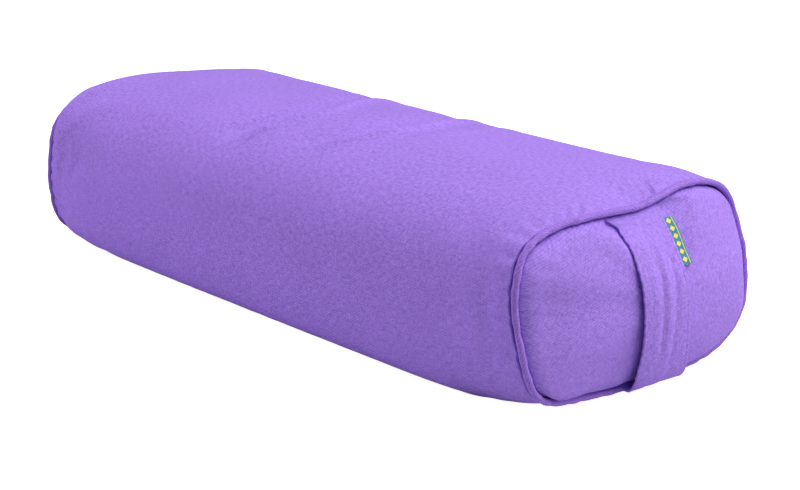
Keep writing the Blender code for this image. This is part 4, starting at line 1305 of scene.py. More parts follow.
def sweep_round(name, end, profile_at, count):
    """Closed tube of a profile of (past the seam, depth) points carried round a seam."""
    run = np.linspace(0.0, SEAM_GIRTH, count, endpoint=False)
    points, normals = skin(end * SEAM_STATION * np.ones(count), seam_angle(run))
    rows = []
    for place, normal, here in zip(points, normals, run):
        profile = profile_at(here)
        row = place[None, :] - normal[None, :] * profile[:, 1:2]
        row[:, 0] += end * profile[:, 0]
        rows.append(row)
    sides = len(rows[0])
    _, places = grid_quads(count + 1, sides, around=True)
    quads = (places[..., 0] % count) * sides + places[..., 1] % sides
    length = runs(np.concatenate([points, points[:1]]))
    girth = float(runs(np.concatenate([rows[0], rows[0][:1]]))[-1])
    weave = crossed(length, np.arange(sides + 1) / sides * girth)
    return face_out(make_mesh(name, rows, quads.tolist(), corner_values(weave, places)))


def strip_line(radius):
    """Points of one face of the strip round the cord."""
    out, deep = radius * np.cos(STRIP_ANGLES), radius * np.sin(STRIP_ANGLES)
    return np.stack([PIPING_MIDDLE + out, PIPING_LEVEL - deep], -1)


def piping_sleeve(name, end):
    """Bias strip over the cord, a little uneven where the seam puckers it."""
    rng = np.random.default_rng(bpy.context.scene.bolster_cover.seed + PIPING_SEED)
    waves = [
        (rng.integers(*STRIP_WAVE_TURNS), rng.uniform(0, 2 * math.pi), rng.uniform(*STRIP_WAVE_SIZES) * MM)
        for _ in range(STRIP_WAVES)
    ]

    def profile_at(run):
        swell = sum(
            size * math.sin(turns * 2 * math.pi * run / SEAM_GIRTH + phase) for turns, phase, size in waves
        )
        inside = strip_line(ROLL_RADIUS - SLEEVE_CLOTH)[::-1]
        return np.concatenate([strip_line(ROLL_RADIUS + swell), [FLANGE], inside])

    return sweep_round(name, end, profile_at, STRIP_STEPS)


def piping_cord(name, end):
    """Three-strand cotton cord inside the sleeve."""
    turns = round(SEAM_GIRTH / CORD_TWIST)
    angles = np.linspace(0.0, 2 * math.pi, CORD_SIDES, endpoint=False)
    strands = 1 - CORD_LOBE_SHARE + CORD_LOBE_SHARE * np.cos(3 * angles)
    lobes = (ROLL_RADIUS - SLEEVE_CLOTH - GAP) * strands

    def profile_at(run):
        turned = angles + 2 * math.pi * turns * run / SEAM_GIRTH
        return np.stack([PIPING_MIDDLE + lobes * np.cos(turned), PIPING_LEVEL + lobes * np.sin(turned)], -1)

    return sweep_round(name, end, profile_at, CORD_STEPS)


class BOLSTER_OT_piping(bpy.types.Operator):
    """Lay the piping into both end seams"""
    bl_idname = "bolster.piping"
    bl_label = "Piping"

    def execute(self, context):
        given = context.scene.bolster_piping
        strip = cloth_material("piping twill", given.light_yarn, given.dark_yarn, given.ridge_pitch)
        cotton = cloth_material("cotton cord", (0.86, 0.83, 0.75), (0.62, 0.58, 0.50), 1.2 * MM)
        for side, end in (("near", 1), ("far", -1)):
            sleeve = dress(piping_sleeve(f"{side}_piping_strip", end), strip)
            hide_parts(f"{side}_piping_sleeve")
            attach(sleeve, "cover")
            core = dress(piping_cord(f"{side}_piping_core", end), cotton)
            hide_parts(f"{side}_piping_cord")
            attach(core, "cover")
        return {"FINISHED"}


# Handle


STRAP_ROWS = 150
STRAP_COLUMNS = 40
STRAP_TURN = np.linspace(0.0, math.pi, 7)[1:-1]

# Shares of the strap's length from its top: where its tails leave the seam, where its flare and its
# lean end, and where its creases begin, weaken and end
TOP_SEWN, FOOT_SEWN = (0.06, 0.14), (0.88, 0.96)
FLARE_END, LEAN_END = (0.07, 0.135), (0.1, 0.36)
LEAN_BACK_SHARE = 0.3
CREASE_BEGIN, CREASE_WEAKEN, CREASE_END = (0.12, 0.4), (0.64, 0.80), (0.86, 0.97)
CREASE_WEAKER_SHARE = 0.75
FACE_BEGIN, FACE_END = (0.04, 0.14), (0.90, 0.97)
STITCHED_LENGTH = (0.085, 0.93)
STITCH_STEPS = 260
STITCH_LIFT = 0.05 * MM

# Lengthwise creases: place across the strap, how far it wanders from top to foot, the share of the
# length where it is in its place, half width, all in millimetres but the share, then the height, and
# how much of it is even and how much comes and goes
STRAP_CREASES = (
    (-4, 12, 0.5, 2.4, -0.9, 0.0, 1.0),
    (1, 7, 0.5, 4.0, 0.8, 1.0, 0.0),
    (9, 14, 0.6, 2.8, -0.8, 1.5, -1.0),
    (-12, 0, 0.5, 4.5, 0.6, 1.0, 0.0),
)

# How the creases come and go along the strap, and how the stitches draw it in
BREAK_SHARE, BREAK_WAVES, BREAK_PHASE, BREAK_WIDTH = 0.45, (17.0, 7.0), 1.2, 9 * MM
STITCH_GROOVE_DEPTH, STITCH_GROOVE_WIDTH = 0.30 * MM, 0.9 * MM

# Ripple of the strap's edges: turns from top to foot, height as a share, and phase
RIPPLE_WAVES = ((31, 1.0, 0.0), (47, 0.6, 1.0))
RIPPLE_HEIGHT, RIPPLE_PLACE, RIPPLE_WIDTH = 0.16 * MM, 1.5 * MM, 2.0 * MM
SWAY, SWAY_TURNS, SWAY_PLACE_SHARE = 0.3 * MM, 23, 0.45


def edge_line(points):
    """Smooth line through points given in millimetres, at even distances, from the body's middle."""
    points = np.array(points, float) * MM
    places = np.arange(len(points))
    dense = np.linspace(0.0, len(points) - 1.0, DENSE_EDGE_STEPS)
    line = np.stack([smooth_line(places, points[:, k], dense) for k in range(2)], -1)
    run = runs(line)
    even = np.linspace(0.0, run[-1], EDGE_STEPS)
    return np.stack([np.interp(even, run, line[:, k]) for k in range(2)], -1)


STRAP_FRONT_LINE, STRAP_BACK_LINE = edge_line(STRAP_FRONT_EDGE), edge_line(STRAP_BACK_EDGE)


def strap_place(share, across):
    """Places on the strap's plain outer face at shares of its length and distances from its middle,
    and their outward normals."""
    steps = np.linspace(0.0, 1.0, EDGE_STEPS)
    edges = (STRAP_FRONT_LINE, STRAP_BACK_LINE)
    side = np.clip(across / STRAP_WIDTH + 0.5, 0.0, 1.0)
    found = []
    for field in (edges, [np.gradient(edge, axis=0) for edge in edges]):
        found.append([mix(*(np.interp(share, steps, line[:, k]) for line in field), side) for k in range(2)])
    (out, level), (slope_out, slope_level) = found
    tails = ((0.5, 1, 1 - smooth(*TOP_SEWN, share)), (1.5, -1, smooth(*FOOT_SEWN, share)))
    for corner, sign, sewn in tails:
        outwards, along = seam_stray(seam_run(corner * math.pi) - sign * across, 1)
        level = level + sign * outwards * sewn
        out = out + along * sewn
    flare = STRAP_FLARE * (1 - smooth(*FLARE_END, share))
    lean = STRAP_LEAN * (1 - smooth(*LEAN_END, share)) - LEAN_BACK_SHARE * STRAP_LEAN
    front_share, back_share = (np.clip(0.5 + sign * across / STRAP_WIDTH, 0.0, 1.0) for sign in (-1, 1))
    across = across - flare * front_share - lean * back_share
    place = np.stack([out + SEAM_STATION + MIDDLE.x, across + MIDDLE.y, level], -1)
    normal = np.stack([-slope_level, np.zeros_like(out), slope_out], -1)
    return place, normal / np.linalg.norm(normal, axis=-1, keepdims=True)


def strap_lift(share, across, given):
    """Height of the creases, the pressed stitch rows and the waved edges over the strap's plain face."""
    free = smooth(*FACE_BEGIN, share) * (1 - smooth(*FACE_END, share))
    middle = smooth(*CREASE_BEGIN, share) * (1 - CREASE_WEAKER_SHARE * smooth(*CREASE_WEAKEN, share))
    middle *= 1 - smooth(*CREASE_END, share)
    quick, slow = BREAK_WAVES
    breaks = np.sin(share * quick + BREAK_PHASE) * np.sin(share * slow + across / BREAK_WIDTH)
    broken = 1 - BREAK_SHARE + BREAK_SHARE * breaks
    lift = 0.0
    for place, drift, middle_share, width, height, even, uneven in STRAP_CREASES:
        off = (across - place * MM + drift * MM * (share - middle_share)) / (width * MM)
        lift += given.crease_height * height * np.exp(-off ** 2) * middle * (even + uneven * broken)
    edge = STRAP_WIDTH / 2 - np.abs(across)
    groove = np.exp(-((edge - given.stitch_inset) / STITCH_GROOVE_WIDTH) ** 2)
    lift -= STITCH_GROOVE_DEPTH * groove * free
    ripple = sum(size * np.sin(share * 2 * math.pi * turns + phase) for turns, size, phase in RIPPLE_WAVES)
    lift += RIPPLE_HEIGHT * ripple * np.exp(-((edge - RIPPLE_PLACE) / RIPPLE_WIDTH) ** 2) * free
    return lift


def strap_point(share, across, depth, given):
    """Points of the strap at a share of its length, a distance from its middle and a depth under its
    face, and their outward normals."""
    place, normal = strap_place(share, across)
    place = place + normal * (strap_lift(share, across, given) - depth)[..., None]
    sway = SWAY * np.sin(share * 2 * math.pi * SWAY_TURNS) * np.sign(across)
    place[..., 1] += np.where(np.abs(across) > SWAY_PLACE_SHARE * STRAP_WIDTH, sway, 0.0)
    return place, normal


def strap_mesh(name, given):
    """Closed strap of folded cloth with round edges."""
    share = np.linspace(0.0, 1.0, STRAP_ROWS)
    round_edge = STRAP_THICKNESS / 2
    straight = STRAP_WIDTH / 2 - round_edge
    flat = np.linspace(-straight, straight, STRAP_COLUMNS)
    bend, fall = round_edge * np.sin(STRAP_TURN), round_edge * (1 - np.cos(STRAP_TURN))
    across = np.concatenate([flat, straight + bend, flat[::-1], -straight - bend])
    depth = np.concatenate([
        np.zeros_like(flat), fall, np.full_like(flat, STRAP_THICKNESS), STRAP_THICKNESS - fall,
    ])
    share_grid, across_grid = np.meshgrid(share, across, indexing="ij")
    rows, _ = strap_point(share_grid, across_grid, np.tile(depth, (len(share), 1)), given)
    sides = rows.shape[1]
    quads, places = grid_quads(len(share), sides, around=True)
    girth = runs(np.stack([across, depth], -1))
    weave = crossed(runs(rows[:, 0]), np.concatenate([girth, [girth[-1] + 0.5 * MM]]))
    faces = quads.tolist() + [range(sides), range((len(share) - 1) * sides, len(share) * sides)]
    return face_out(make_mesh(name, rows, faces, corner_values(weave, places)))


class BOLSTER_OT_handle(bpy.types.Operator):
    """Sew the flat carry handle over the near end"""
    bl_idname = "bolster.handle"
    bl_label = "Carry handle"

    def execute(self, context):
        cover = context.scene.bolster_cover
        given = context.scene.bolster_handle
        cloth = cloth_material("handle twill", cover.light_yarn, cover.dark_yarn, cover.rib_pitch)
        made = dress(strap_mesh("carry_handle_strap", given), cloth)
        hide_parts("carry_handle")
        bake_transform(made)
        inset = STRAP_WIDTH / 2 - given.stitch_inset
        share = np.linspace(*STITCHED_LENGTH, STITCH_STEPS)
        over = np.full(len(share), -STITCH_LIFT)
        lines = [strap_point(share, np.full(len(share), across), over, given) for across in (-inset, inset)]
        rows = stitch_rows("carry_handle_stitches", lines)
        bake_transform(rows)
        return {"FINISHED"}


# Label tab


LOZENGE_PITCH, LOZENGE_REACH, LOZENGE_SLOPE = 6.0 * MM, 2.4 * MM, 2.6
RIBBON_MIDDLE, BORDER_PLACE, BORDER_WIDTH = 5.0 * MM, 3.7 * MM, 0.3 * MM
LABEL_ROWS, LABEL_COLUMNS = 40, 14
LABEL_TURN = np.linspace(0.0, math.pi, 5)[1:-1]
LABEL_BEHIND = 0.2 * MM
LABEL_STAND, LABEL_STAND_POWER = 1.0 * MM, 1.5
LABEL_CURL, LABEL_CURL_WAVES = 0.5 * MM, 2.2
LABEL_MOST_OUT = 1.2


def label_material(given):
    """Woven ribbon with a plain row of lozenges between two border lines."""
    ground = given.label_color
    made = cloth_material("label ribbon", ground, darker(ground, 0.7), 0.7 * MM)
    tree = made.node_tree
    base = tree.nodes["Principled BSDF"].inputs["Base Color"]

    def away(value, place):
        return calc(tree, "ABSOLUTE", calc(tree, "SUBTRACT", value, place))

    place = add(tree, "ShaderNodeUVMap", uv_map="weave").outputs[0]
    part = add(tree, "ShaderNodeSeparateXYZ", {0: place}).outputs
    step = away(calc(tree, "FRACT", calc(tree, "DIVIDE", part[0], LOZENGE_PITCH)), 0.5)
    off = away(part[1], RIBBON_MIDDLE)
    steep = calc(tree, "MULTIPLY", step, LOZENGE_SLOPE)
    lozenge = calc(tree, "ADD", steep, calc(tree, "DIVIDE", off, LOZENGE_REACH))
    inside = calc(tree, "LESS_THAN", lozenge, 1.0)
    edge = calc(tree, "LESS_THAN", away(off, BORDER_PLACE), BORDER_WIDTH)
    motif = calc(tree, "MAXIMUM", inside, edge)
    woven = base.links[0].from_socket
    tree.links.new(blend_color(tree, motif, woven, (*given.motif_color, 1.0)), base)
    return made


def label_mesh(name, given):
    """Ribbon folded double, its cut edges behind the strap and its fold standing out."""
    shown = LABEL_HIGH.y - STRAP_HIGH.y
    line = STRAP_BACK_LINE[:EDGE_STEPS // 2]
    steps = np.linspace(0.0, (len(line) - 1) / (EDGE_STEPS - 1), len(line))
    top, foot = (float(np.interp(-level, -line[:, 1], steps)) for level in LABEL_LEVELS)
    share = np.linspace(top, foot, LABEL_ROWS)
    fold = STRAP_WIDTH / 2 + shown
    flat = np.linspace(STRAP_WIDTH / 2 - LABEL_TUCK, fold, LABEL_COLUMNS)
    front = STRAP_THICKNESS + LABEL_BEHIND
    back = STRAP_THICKNESS + 2 * LABEL_BEHIND + 2 * LABEL_CLOTH
    middle, swing = (front + back) / 2, (back - front) / 2
    across = np.concatenate([flat, fold + swing * np.sin(LABEL_TURN), flat[::-1]])
    depth = np.concatenate([
        np.full_like(flat, front), middle - swing * np.cos(LABEL_TURN), np.full_like(flat, back),
    ])
    share_grid, across_grid = np.meshgrid(share, across, indexing="ij")
    at, facing = strap_place(share_grid, across_grid)
    out = np.clip((across_grid - STRAP_WIDTH / 2) / shown, 0.0, LABEL_MOST_OUT)
    curl = LABEL_CURL * np.sin((share_grid - top) / (foot - top) * math.pi * LABEL_CURL_WAVES)
    at = at + facing * (LABEL_STAND * out ** LABEL_STAND_POWER + curl * out - depth)[..., None]
    quads, places = grid_quads(len(share), len(across))
    length = float(runs(at[:, 0])[-1]) * (share - top) / (foot - top)
    girth = runs(np.stack([across, depth], -1)) - LABEL_TUCK
    girth = np.minimum(girth, girth[-1] - LABEL_TUCK - girth)
    made = make_mesh(name, at, quads.tolist(), corner_values(crossed(length, girth), places))
    if made.data.polygons[0].normal.x < 0:
        made.data.flip_normals()
    wall = made.modifiers.new("cloth", "SOLIDIFY")
    wall.thickness = LABEL_CLOTH
    wall.offset = -1.0
    return flattened(made)


class BOLSTER_OT_label_tab(bpy.types.Operator):
    """Sew the plain label tab to the handle's edge"""
    bl_idname = "bolster.label_tab"
    bl_label = "Label tab"

    def execute(self, context):
        given = context.scene.bolster_handle
        made = dress(label_mesh("label_ribbon_tab", given), label_material(given))
        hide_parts("label_tab")
        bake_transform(made)
        return {"FINISHED"}


# Stitches


UNEVEN_STITCHES = (0.85, 1.1)
THREAD_SHARES = (0.5, 0.45)
STITCH_SEED = 3


def row_tree(name, sizes, others):
    """Geometry nodes with named inputs, and points at each step along the lines they are given. The
    first size is the step."""
    tree = bpy.data.node_groups.new(name, "GeometryNodeTree")
    tree.is_modifier = True
    inputs = [("Geometry", "Geometry"), *((label, "Float") for label in sizes), *others]
    for label, kind in inputs:
        tree.interface.new_socket(label, in_out="INPUT", socket_type=f"NodeSocket{kind}")
    tree.interface.new_socket("Geometry", in_out="OUTPUT", socket_type="NodeSocketGeometry")
    given = tree.nodes.new("NodeGroupInput").outputs
    curve = add(tree, "GeometryNodeMeshToCurve", {"Mesh": given["Geometry"]})
    points = add(tree, "GeometryNodeResampleCurve", {
        "Curve": curve.outputs[0], "Length": given[sizes[0]],
    }, mode="LENGTH")
    return tree, given, points.outputs[0]


def small_ball(tree, radius):
    """Output of a ball with few faces."""
    return add(tree, "GeometryNodeMeshUVSphere", {
        "Segments": 8, "Rings": 6, "Radius": radius,
    }).outputs["Mesh"]


def facing_way(tree):
    """Output of the way that the lines' points face."""
    facing = add(tree, "GeometryNodeInputNamedAttribute", {"Name": "facing"}, data_type="FLOAT_VECTOR")
    return facing.outputs["Attribute"]


def sized(tree, geometry, *size, place=None):
    """Output of a geometry with its three sizes scaled, moved to a place if it has one."""
    scale = add(tree, "ShaderNodeCombineXYZ", dict(enumerate(size))).outputs[0]
    given = {"Geometry": geometry, "Scale": scale}
    if place is not None:
        given["Translation"] = place
    return add(tree, "GeometryNodeTransform", given).outputs[0]


def put_on_points(tree, material, values):
    """Ends a geometry tree: a piece on each point, made real and given its material."""
    placed = add(tree, "GeometryNodeInstanceOnPoints", values)
    real = add(tree, "GeometryNodeRealizeInstances", {0: placed.outputs[0]})
    finished = add(tree, "GeometryNodeSetMaterial", {"Geometry": real.outputs[0], "Material": material})
    tree.links.new(finished.outputs[0], tree.nodes.new("NodeGroupOutput").inputs["Geometry"])
    return tree


def stitch_tree():
    """Geometry nodes that set one stitch at each step along the lines they are given."""
    if "Stitch rows" in bpy.data.node_groups:
        return bpy.data.node_groups["Stitch rows"]
    sizes = ("Stitch Pitch", "Stitch Length", "Thread Width")
    tree, given, points = row_tree("Stitch rows", sizes, (("Seed", "Int"), ("Thread", "Material")))
    half_length = calc(tree, "MULTIPLY", given["Stitch Length"], 0.5)
    width = given["Thread Width"]
    half_width, half_height = (calc(tree, "MULTIPLY", width, share) for share in THREAD_SHARES)
    stitch = sized(tree, small_ball(tree, 1.0), half_length, half_width, half_height)
    tangent = add(tree, "GeometryNodeInputTangent")
    along = add(tree, "FunctionNodeAlignRotationToVector", {"Vector": tangent.outputs[0]}, axis="X")
    up = add(tree, "FunctionNodeAlignRotationToVector", {
        "Rotation": along.outputs[0], "Vector": facing_way(tree),
    }, axis="Z", pivot_axis="X")
    least, most = UNEVEN_STITCHES
    uneven = add(tree, "FunctionNodeRandomValue", {
        2: least, 3: most, "Seed": given["Seed"],
    }, data_type="FLOAT")
    return put_on_points(tree, given["Thread"], {
        "Points": points, "Instance": stitch, "Rotation": up.outputs[0], "Scale": uneven.outputs[1],
    })


def grown(name, lines, tree, values):
    """Plain mesh of what a geometry tree sets along lines of points, each with the way that it faces."""
    points, facings, edges = [], [], []
    for line, facing in lines:
        start = len(points)
        points += np.asarray(line, float).tolist()
        facings += np.asarray(facing, float).tolist()
        edges += [(start + i, start + i + 1) for i in range(len(line) - 1)]
    mesh = bpy.data.meshes.new(name)
    mesh.from_pydata(points, edges, [])
    attribute = mesh.attributes.new("facing", "FLOAT_VECTOR", "POINT")
    attribute.data.foreach_set("vector", np.array(facings, np.float32).ravel())
    made = linked(name, mesh)
    modifier = made.modifiers.new("grown", "NODES")
    modifier.node_group = tree
    for item in tree.interface.items_tree:
        if item.item_type == "SOCKET" and item.in_out == "INPUT" and item.name in values:
            modifier[item.identifier] = values[item.name]
    flattened(made)
    made.name = made.data.name = name
    made.data.shade_smooth()
    return made


def thread_material():
    if "sewing thread" in bpy.data.materials:
        return bpy.data.materials["sewing thread"]
    given = bpy.context.scene.bolster_stitch
    made, tree, shader = new_material("sewing thread", 0.5, Sheen_Weight=0.2)
    place = add(tree, "ShaderNodeTexCoord").outputs["Object"]
    twist = add(tree, "ShaderNodeTexWave", {"Vector": place, "Scale": 900.0, "Distortion": 2.0})
    shade = blend_color(tree, twist.outputs["Fac"], (*darker(given.color, 0.6), 1.0), (*given.color, 1.0))
    tree.links.new(shade, shader.inputs["Base Color"])
    return made


def stitch_rows(name, lines):
    """One mesh of stitches along lines of points with the surface's normals."""
    given = bpy.context.scene.bolster_stitch
    return grown(name, lines, stitch_tree(), {
        "Stitch Pitch": given.pitch, "Stitch Length": given.length, "Thread Width": given.thread,
        "Seed": STITCH_SEED, "Thread": thread_material(),
    })


# Zip


TURN_LENGTH = 3.3 * MM
WIRE_WIDTH = 0.95 * MM
COIL_APART = 1.25 * MM
COIL_END = 1 * MM
BAR_DEPTH_SHARE = 1.5
HEAD_PLACE_SHARE, HEAD_SIZE_SHARES = -0.38, (1.35, 1.7, 1.3)
TAPE_ROWS, TAPE_COLUMNS = 160, 16
TAPE_FACE_INSET, TAPE_BACK_INSET = 0.1 * MM, 0.05 * MM
TAPE_WAVE, TAPE_WAVE_LENGTH, TAPE_WAVE_WIDTH = 0.048 * MM, 17 * MM, 5 * MM
BEAD_HEIGHT, BEAD_WIDTH = 0.15 * MM, 1.2 * MM
TOPSTITCH_ALONG, TOPSTITCH_ABOVE, TOPSTITCH_LIFT = 4 * MM, 3 * MM, 0.08 * MM
TOPSTITCH_STEPS, TOPSTITCH_END_STEPS = 300, 12


def coil_tree():
    """Geometry nodes that set one turn of the coil, a bar and its head, on each point of a row."""
    sizes = ("Coil Pitch", "Turn Length", "Wire Width")
    tree, given, points = row_tree("Zip coil", sizes, (("Nylon", "Material"),))
    wire, length = given["Wire Width"], given["Turn Length"]
    ball = small_ball(tree, 0.5)
    bar = sized(tree, ball, wire, calc(tree, "MULTIPLY", wire, BAR_DEPTH_SHARE), length)
    head_place = add(tree, "ShaderNodeCombineXYZ", {2: calc(tree, "MULTIPLY", length, HEAD_PLACE_SHARE)})
    head_size = [calc(tree, "MULTIPLY", wire, share) for share in HEAD_SIZE_SHARES]
    head = sized(tree, ball, *head_size, place=head_place.outputs[0])
    turn = add(tree, "GeometryNodeJoinGeometry")
    for piece in (bar, head):
        tree.links.new(piece, turn.inputs[0])
    aimed = add(tree, "FunctionNodeAlignRotationToVector", {
        "Vector": facing_way(tree),
    }, axis="Z", pivot_axis="Y")
    return put_on_points(tree, given["Nylon"], {
        "Points": points, "Instance": turn.outputs[0], "Rotation": aimed.outputs[0],
    })


def nylon_material():
    """Dyed nylon coil with a slight sheen."""
    made, tree, shader = new_material("zip nylon", 0.38)
    wear = worn(tree, add(tree, "ShaderNodeTexCoord").outputs["Object"], 8 * MM)
    color = blend_color(tree, wear["Unevenness"], (0.20, 0.09, 0.48, 1.0), (0.34, 0.19, 0.66, 1.0))
    tree.links.new(color, shader.inputs["Base Color"])
    return made


def metal_material():
    """Nickel-plated zinc: satin, with fine scratches and rubbed edges."""
    made, tree, shader = new_material("zip nickel", 0.3, 1.0)
    place = add(tree, "ShaderNodeTexCoord").outputs["Object"]
    scratches = noise(tree, stretched(tree, place, (400.0, 3000.0, 3000.0)), 1.0, 4.0)
    wear = worn(tree, place, 6 * MM)
    color = blend_color(tree, wear["Rubbed"], (0.56, 0.56, 0.57, 1.0), (0.72, 0.71, 0.69, 1.0))
    tree.links.new(color, shader.inputs["Base Color"])
    tree.links.new(ranged(tree, scratches, 0.18, 0.46), shader.inputs["Roughness"])
    raised(tree, shader, scratches, 0.15, 0.05 * MM)
    return made


def zip_tape(name, low, high):
    """Woven tape with a thicker edge beside the coil."""
    x, z = np.meshgrid(
        np.linspace(low.x, high.x, TAPE_ROWS), np.linspace(low.z, high.z, TAPE_COLUMNS), indexing="ij",
    )
    bead_level = low.z if low.z > ZIP_LEVEL else high.z
    bead = BEAD_HEIGHT * np.exp(-((z - bead_level) / BEAD_WIDTH) ** 2)
    wave = TAPE_WAVE * np.sin(x / TAPE_WAVE_LENGTH) * np.sin(z / TAPE_WAVE_WIDTH)
    outer = np.stack([x, high.y + bead + wave - TAPE_FACE_INSET, z], -1)
    inner = outer.copy()
    inner[..., 1] = low.y + TAPE_BACK_INSET
    quads, _ = grid_quads(TAPE_ROWS, TAPE_COLUMNS)
    count = x.size
    edge = [i * TAPE_COLUMNS + j for i, j in border(TAPE_ROWS - 1, TAPE_COLUMNS - 1)]
    faces = quads.tolist() + (quads[:, ::-1] + count).tolist()
    faces += hoop(edge, [number + count for number in edge])
    points = np.concatenate([outer.reshape(-1, 3), inner.reshape(-1, 3)])
    corner = points[np.concatenate([np.ravel(face) for face in faces])][:, [0, 2]]
    return face_out(make_mesh(name, points, faces, corner))


def coil_row(name, side, tree, nylon):
    """One row of the coil, half a pitch from the other."""
    pitch = bpy.context.scene.bolster_zip.coil_pitch
    start = TEETH_LOW.x + COIL_END + (pitch / 2 if side < 0 else 0.0)
    stop = start + int((TEETH_HIGH.x - COIL_END - start) / pitch) * pitch
    y, level = (TEETH_LOW.y + TEETH_HIGH.y) / 2, ZIP_LEVEL + side * COIL_APART
    line = ([(start, y, level), (stop, y, level)], [(0, 0, side), (0, 0, side)])
    return grown(name, [line], tree, {
        "Coil Pitch": pitch, "Turn Length": TURN_LENGTH, "Wire Width": WIRE_WIDTH, "Nylon": nylon,
    })


class BOLSTER_OT_zip(bpy.types.Operator):
    """Set the zip's tapes, coil and stops into the slot at the back"""
    bl_idname = "bolster.zip"
    bl_label = "Zip"

    def execute(self, context):
        given = context.scene.bolster_zip
        woven = cloth_material("zip tape", given.tape_color, darker(given.tape_color, 0.62), 1.1 * MM)
        nylon, tree = nylon_material(), coil_tree()
        boxes = {"upper": (UPPER_TAPE_LOW, UPPER_TAPE_HIGH), "lower": (LOWER_TAPE_LOW, LOWER_TAPE_HIGH)}
        for side, sign in (("upper", 1), ("lower", -1)):
            tape = dress(zip_tape(f"zip_woven_tape_{side}", *boxes[side]), woven)
            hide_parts(f"zip_tape_{side}")
            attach(tape, "cover")
            coil = coil_row(f"zip_coil_{side}", sign, tree, nylon)
            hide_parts(f"zip_teeth_{side}")
            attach(coil, "cover")
        metal = metal_material()
        for name in ("zip_top_stop_upper", "zip_top_stop_lower", "zip_bottom_stop"):
            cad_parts[name].data.materials.clear()
            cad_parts[name].data.materials.append(metal)
        half, reach = SLOT_LENGTH / 2 + TOPSTITCH_ALONG, SLOT_HEIGHT / 2 + TOPSTITCH_ABOVE
        lines = []
        for level in (ZIP_LEVEL - reach, ZIP_LEVEL + reach):
            x = np.linspace(-half, half, TOPSTITCH_STEPS)
            lines.append(back_line(x, np.full(len(x), level)))
        for x in (-half, half):
            level = np.linspace(ZIP_LEVEL - reach, ZIP_LEVEL + reach, TOPSTITCH_END_STEPS)
            lines.append(back_line(np.full(len(level), x), level))
        rows = stitch_rows("zip_topstitching", lines)
        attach(rows, "cover")
        return {"FINISHED"}


def back_line(x, level):
    """Points on the cover's back at stations and levels, with their normals."""
    return skin(x, back_angle(level), -TOPSTITCH_LIFT)


MERGE_DISTANCE = 0.01 * MM
CAST_EDGE = 0.14 * MM
FLAT_ANGLE, SHARP_ANGLE = math.radians(1), math.radians(50)


def merged_copy(name, node):
    """Copy of a node's mesh as an object of its own, and its bmesh with the doubles merged."""
    made = linked(name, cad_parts[node].data.copy())
    bm = bmesh.new()
    bm.from_mesh(made.data)
    bmesh.ops.remove_doubles(bm, verts=bm.verts, dist=MERGE_DISTANCE)
    return made, bm


class BOLSTER_OT_slider(bpy.types.Operator):
    """Finish the zip's slider and pull"""
    bl_idname = "bolster.slider"
    bl_label = "Slider and pull"

    def execute(self, context):
        metal = bpy.data.materials["zip nickel"]
        for name, body in (("zip_slider", "slider"), ("zip_pull", "pull")):
            made, bm = merged_copy(f"{name}_cast", name)
            bmesh.ops.dissolve_limit(bm, angle_limit=FLAT_ANGLE, verts=bm.verts, edges=bm.edges)
            bm.to_mesh(made.data)
            bm.free()
            soft = made.modifiers.new("soft edges", "BEVEL")
            soft.width = CAST_EDGE
            soft.segments = 2
            soft.limit_method = "ANGLE"
            flattened(made)
            made.data.shade_smooth()
            made.data.set_sharp_from_angle(angle=SHARP_ANGLE)
            dress(made, metal)
            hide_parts(name)
            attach(made, body)
        return {"FINISHED"}


# Filling


LINER_DEPTH, LINER_ROUGH = 3.6 * MM, 0.15 * MM
BATTING_DEPTH, BATTING_ROUGH = 4.9 * MM, 0.7 * MM
LONGEST_EDGE = 8 * MM
SPLIT_ROUNDS, PRESS_ROUNDS = 6, 2
SWELLS, SWELL_LENGTH, SWELL_PHASES = 8, 18 * MM, 6.28


class BOLSTER_OT_filling(bpy.types.Operator):
    """Fill the cover with its calico liner and the layers of batting"""
    bl_idname = "bolster.filling"
    bl_label = "Liner and batting"

    def execute(self, context):
        calico = cloth_material("calico", (0.80, 0.76, 0.66), (0.66, 0.60, 0.50), 0.9 * MM)
        cotton = cloth_material("cotton batting", (0.88, 0.85, 0.78), (0.74, 0.70, 0.62), 4 * MM)
        outside = skin_tree()
        for name in ("liner_body", "liner_near_end", "liner_far_end"):
            made = softened(name, outside, LINER_DEPTH, LINER_ROUGH)
            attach(dress(made, calico), "cover")
        for number in range(1, 6):
            made = softened(f"batting_layer_{number}", outside, BATTING_DEPTH, BATTING_ROUGH)
            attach(dress(made, cotton), "cover")
        return {"FINISHED"}


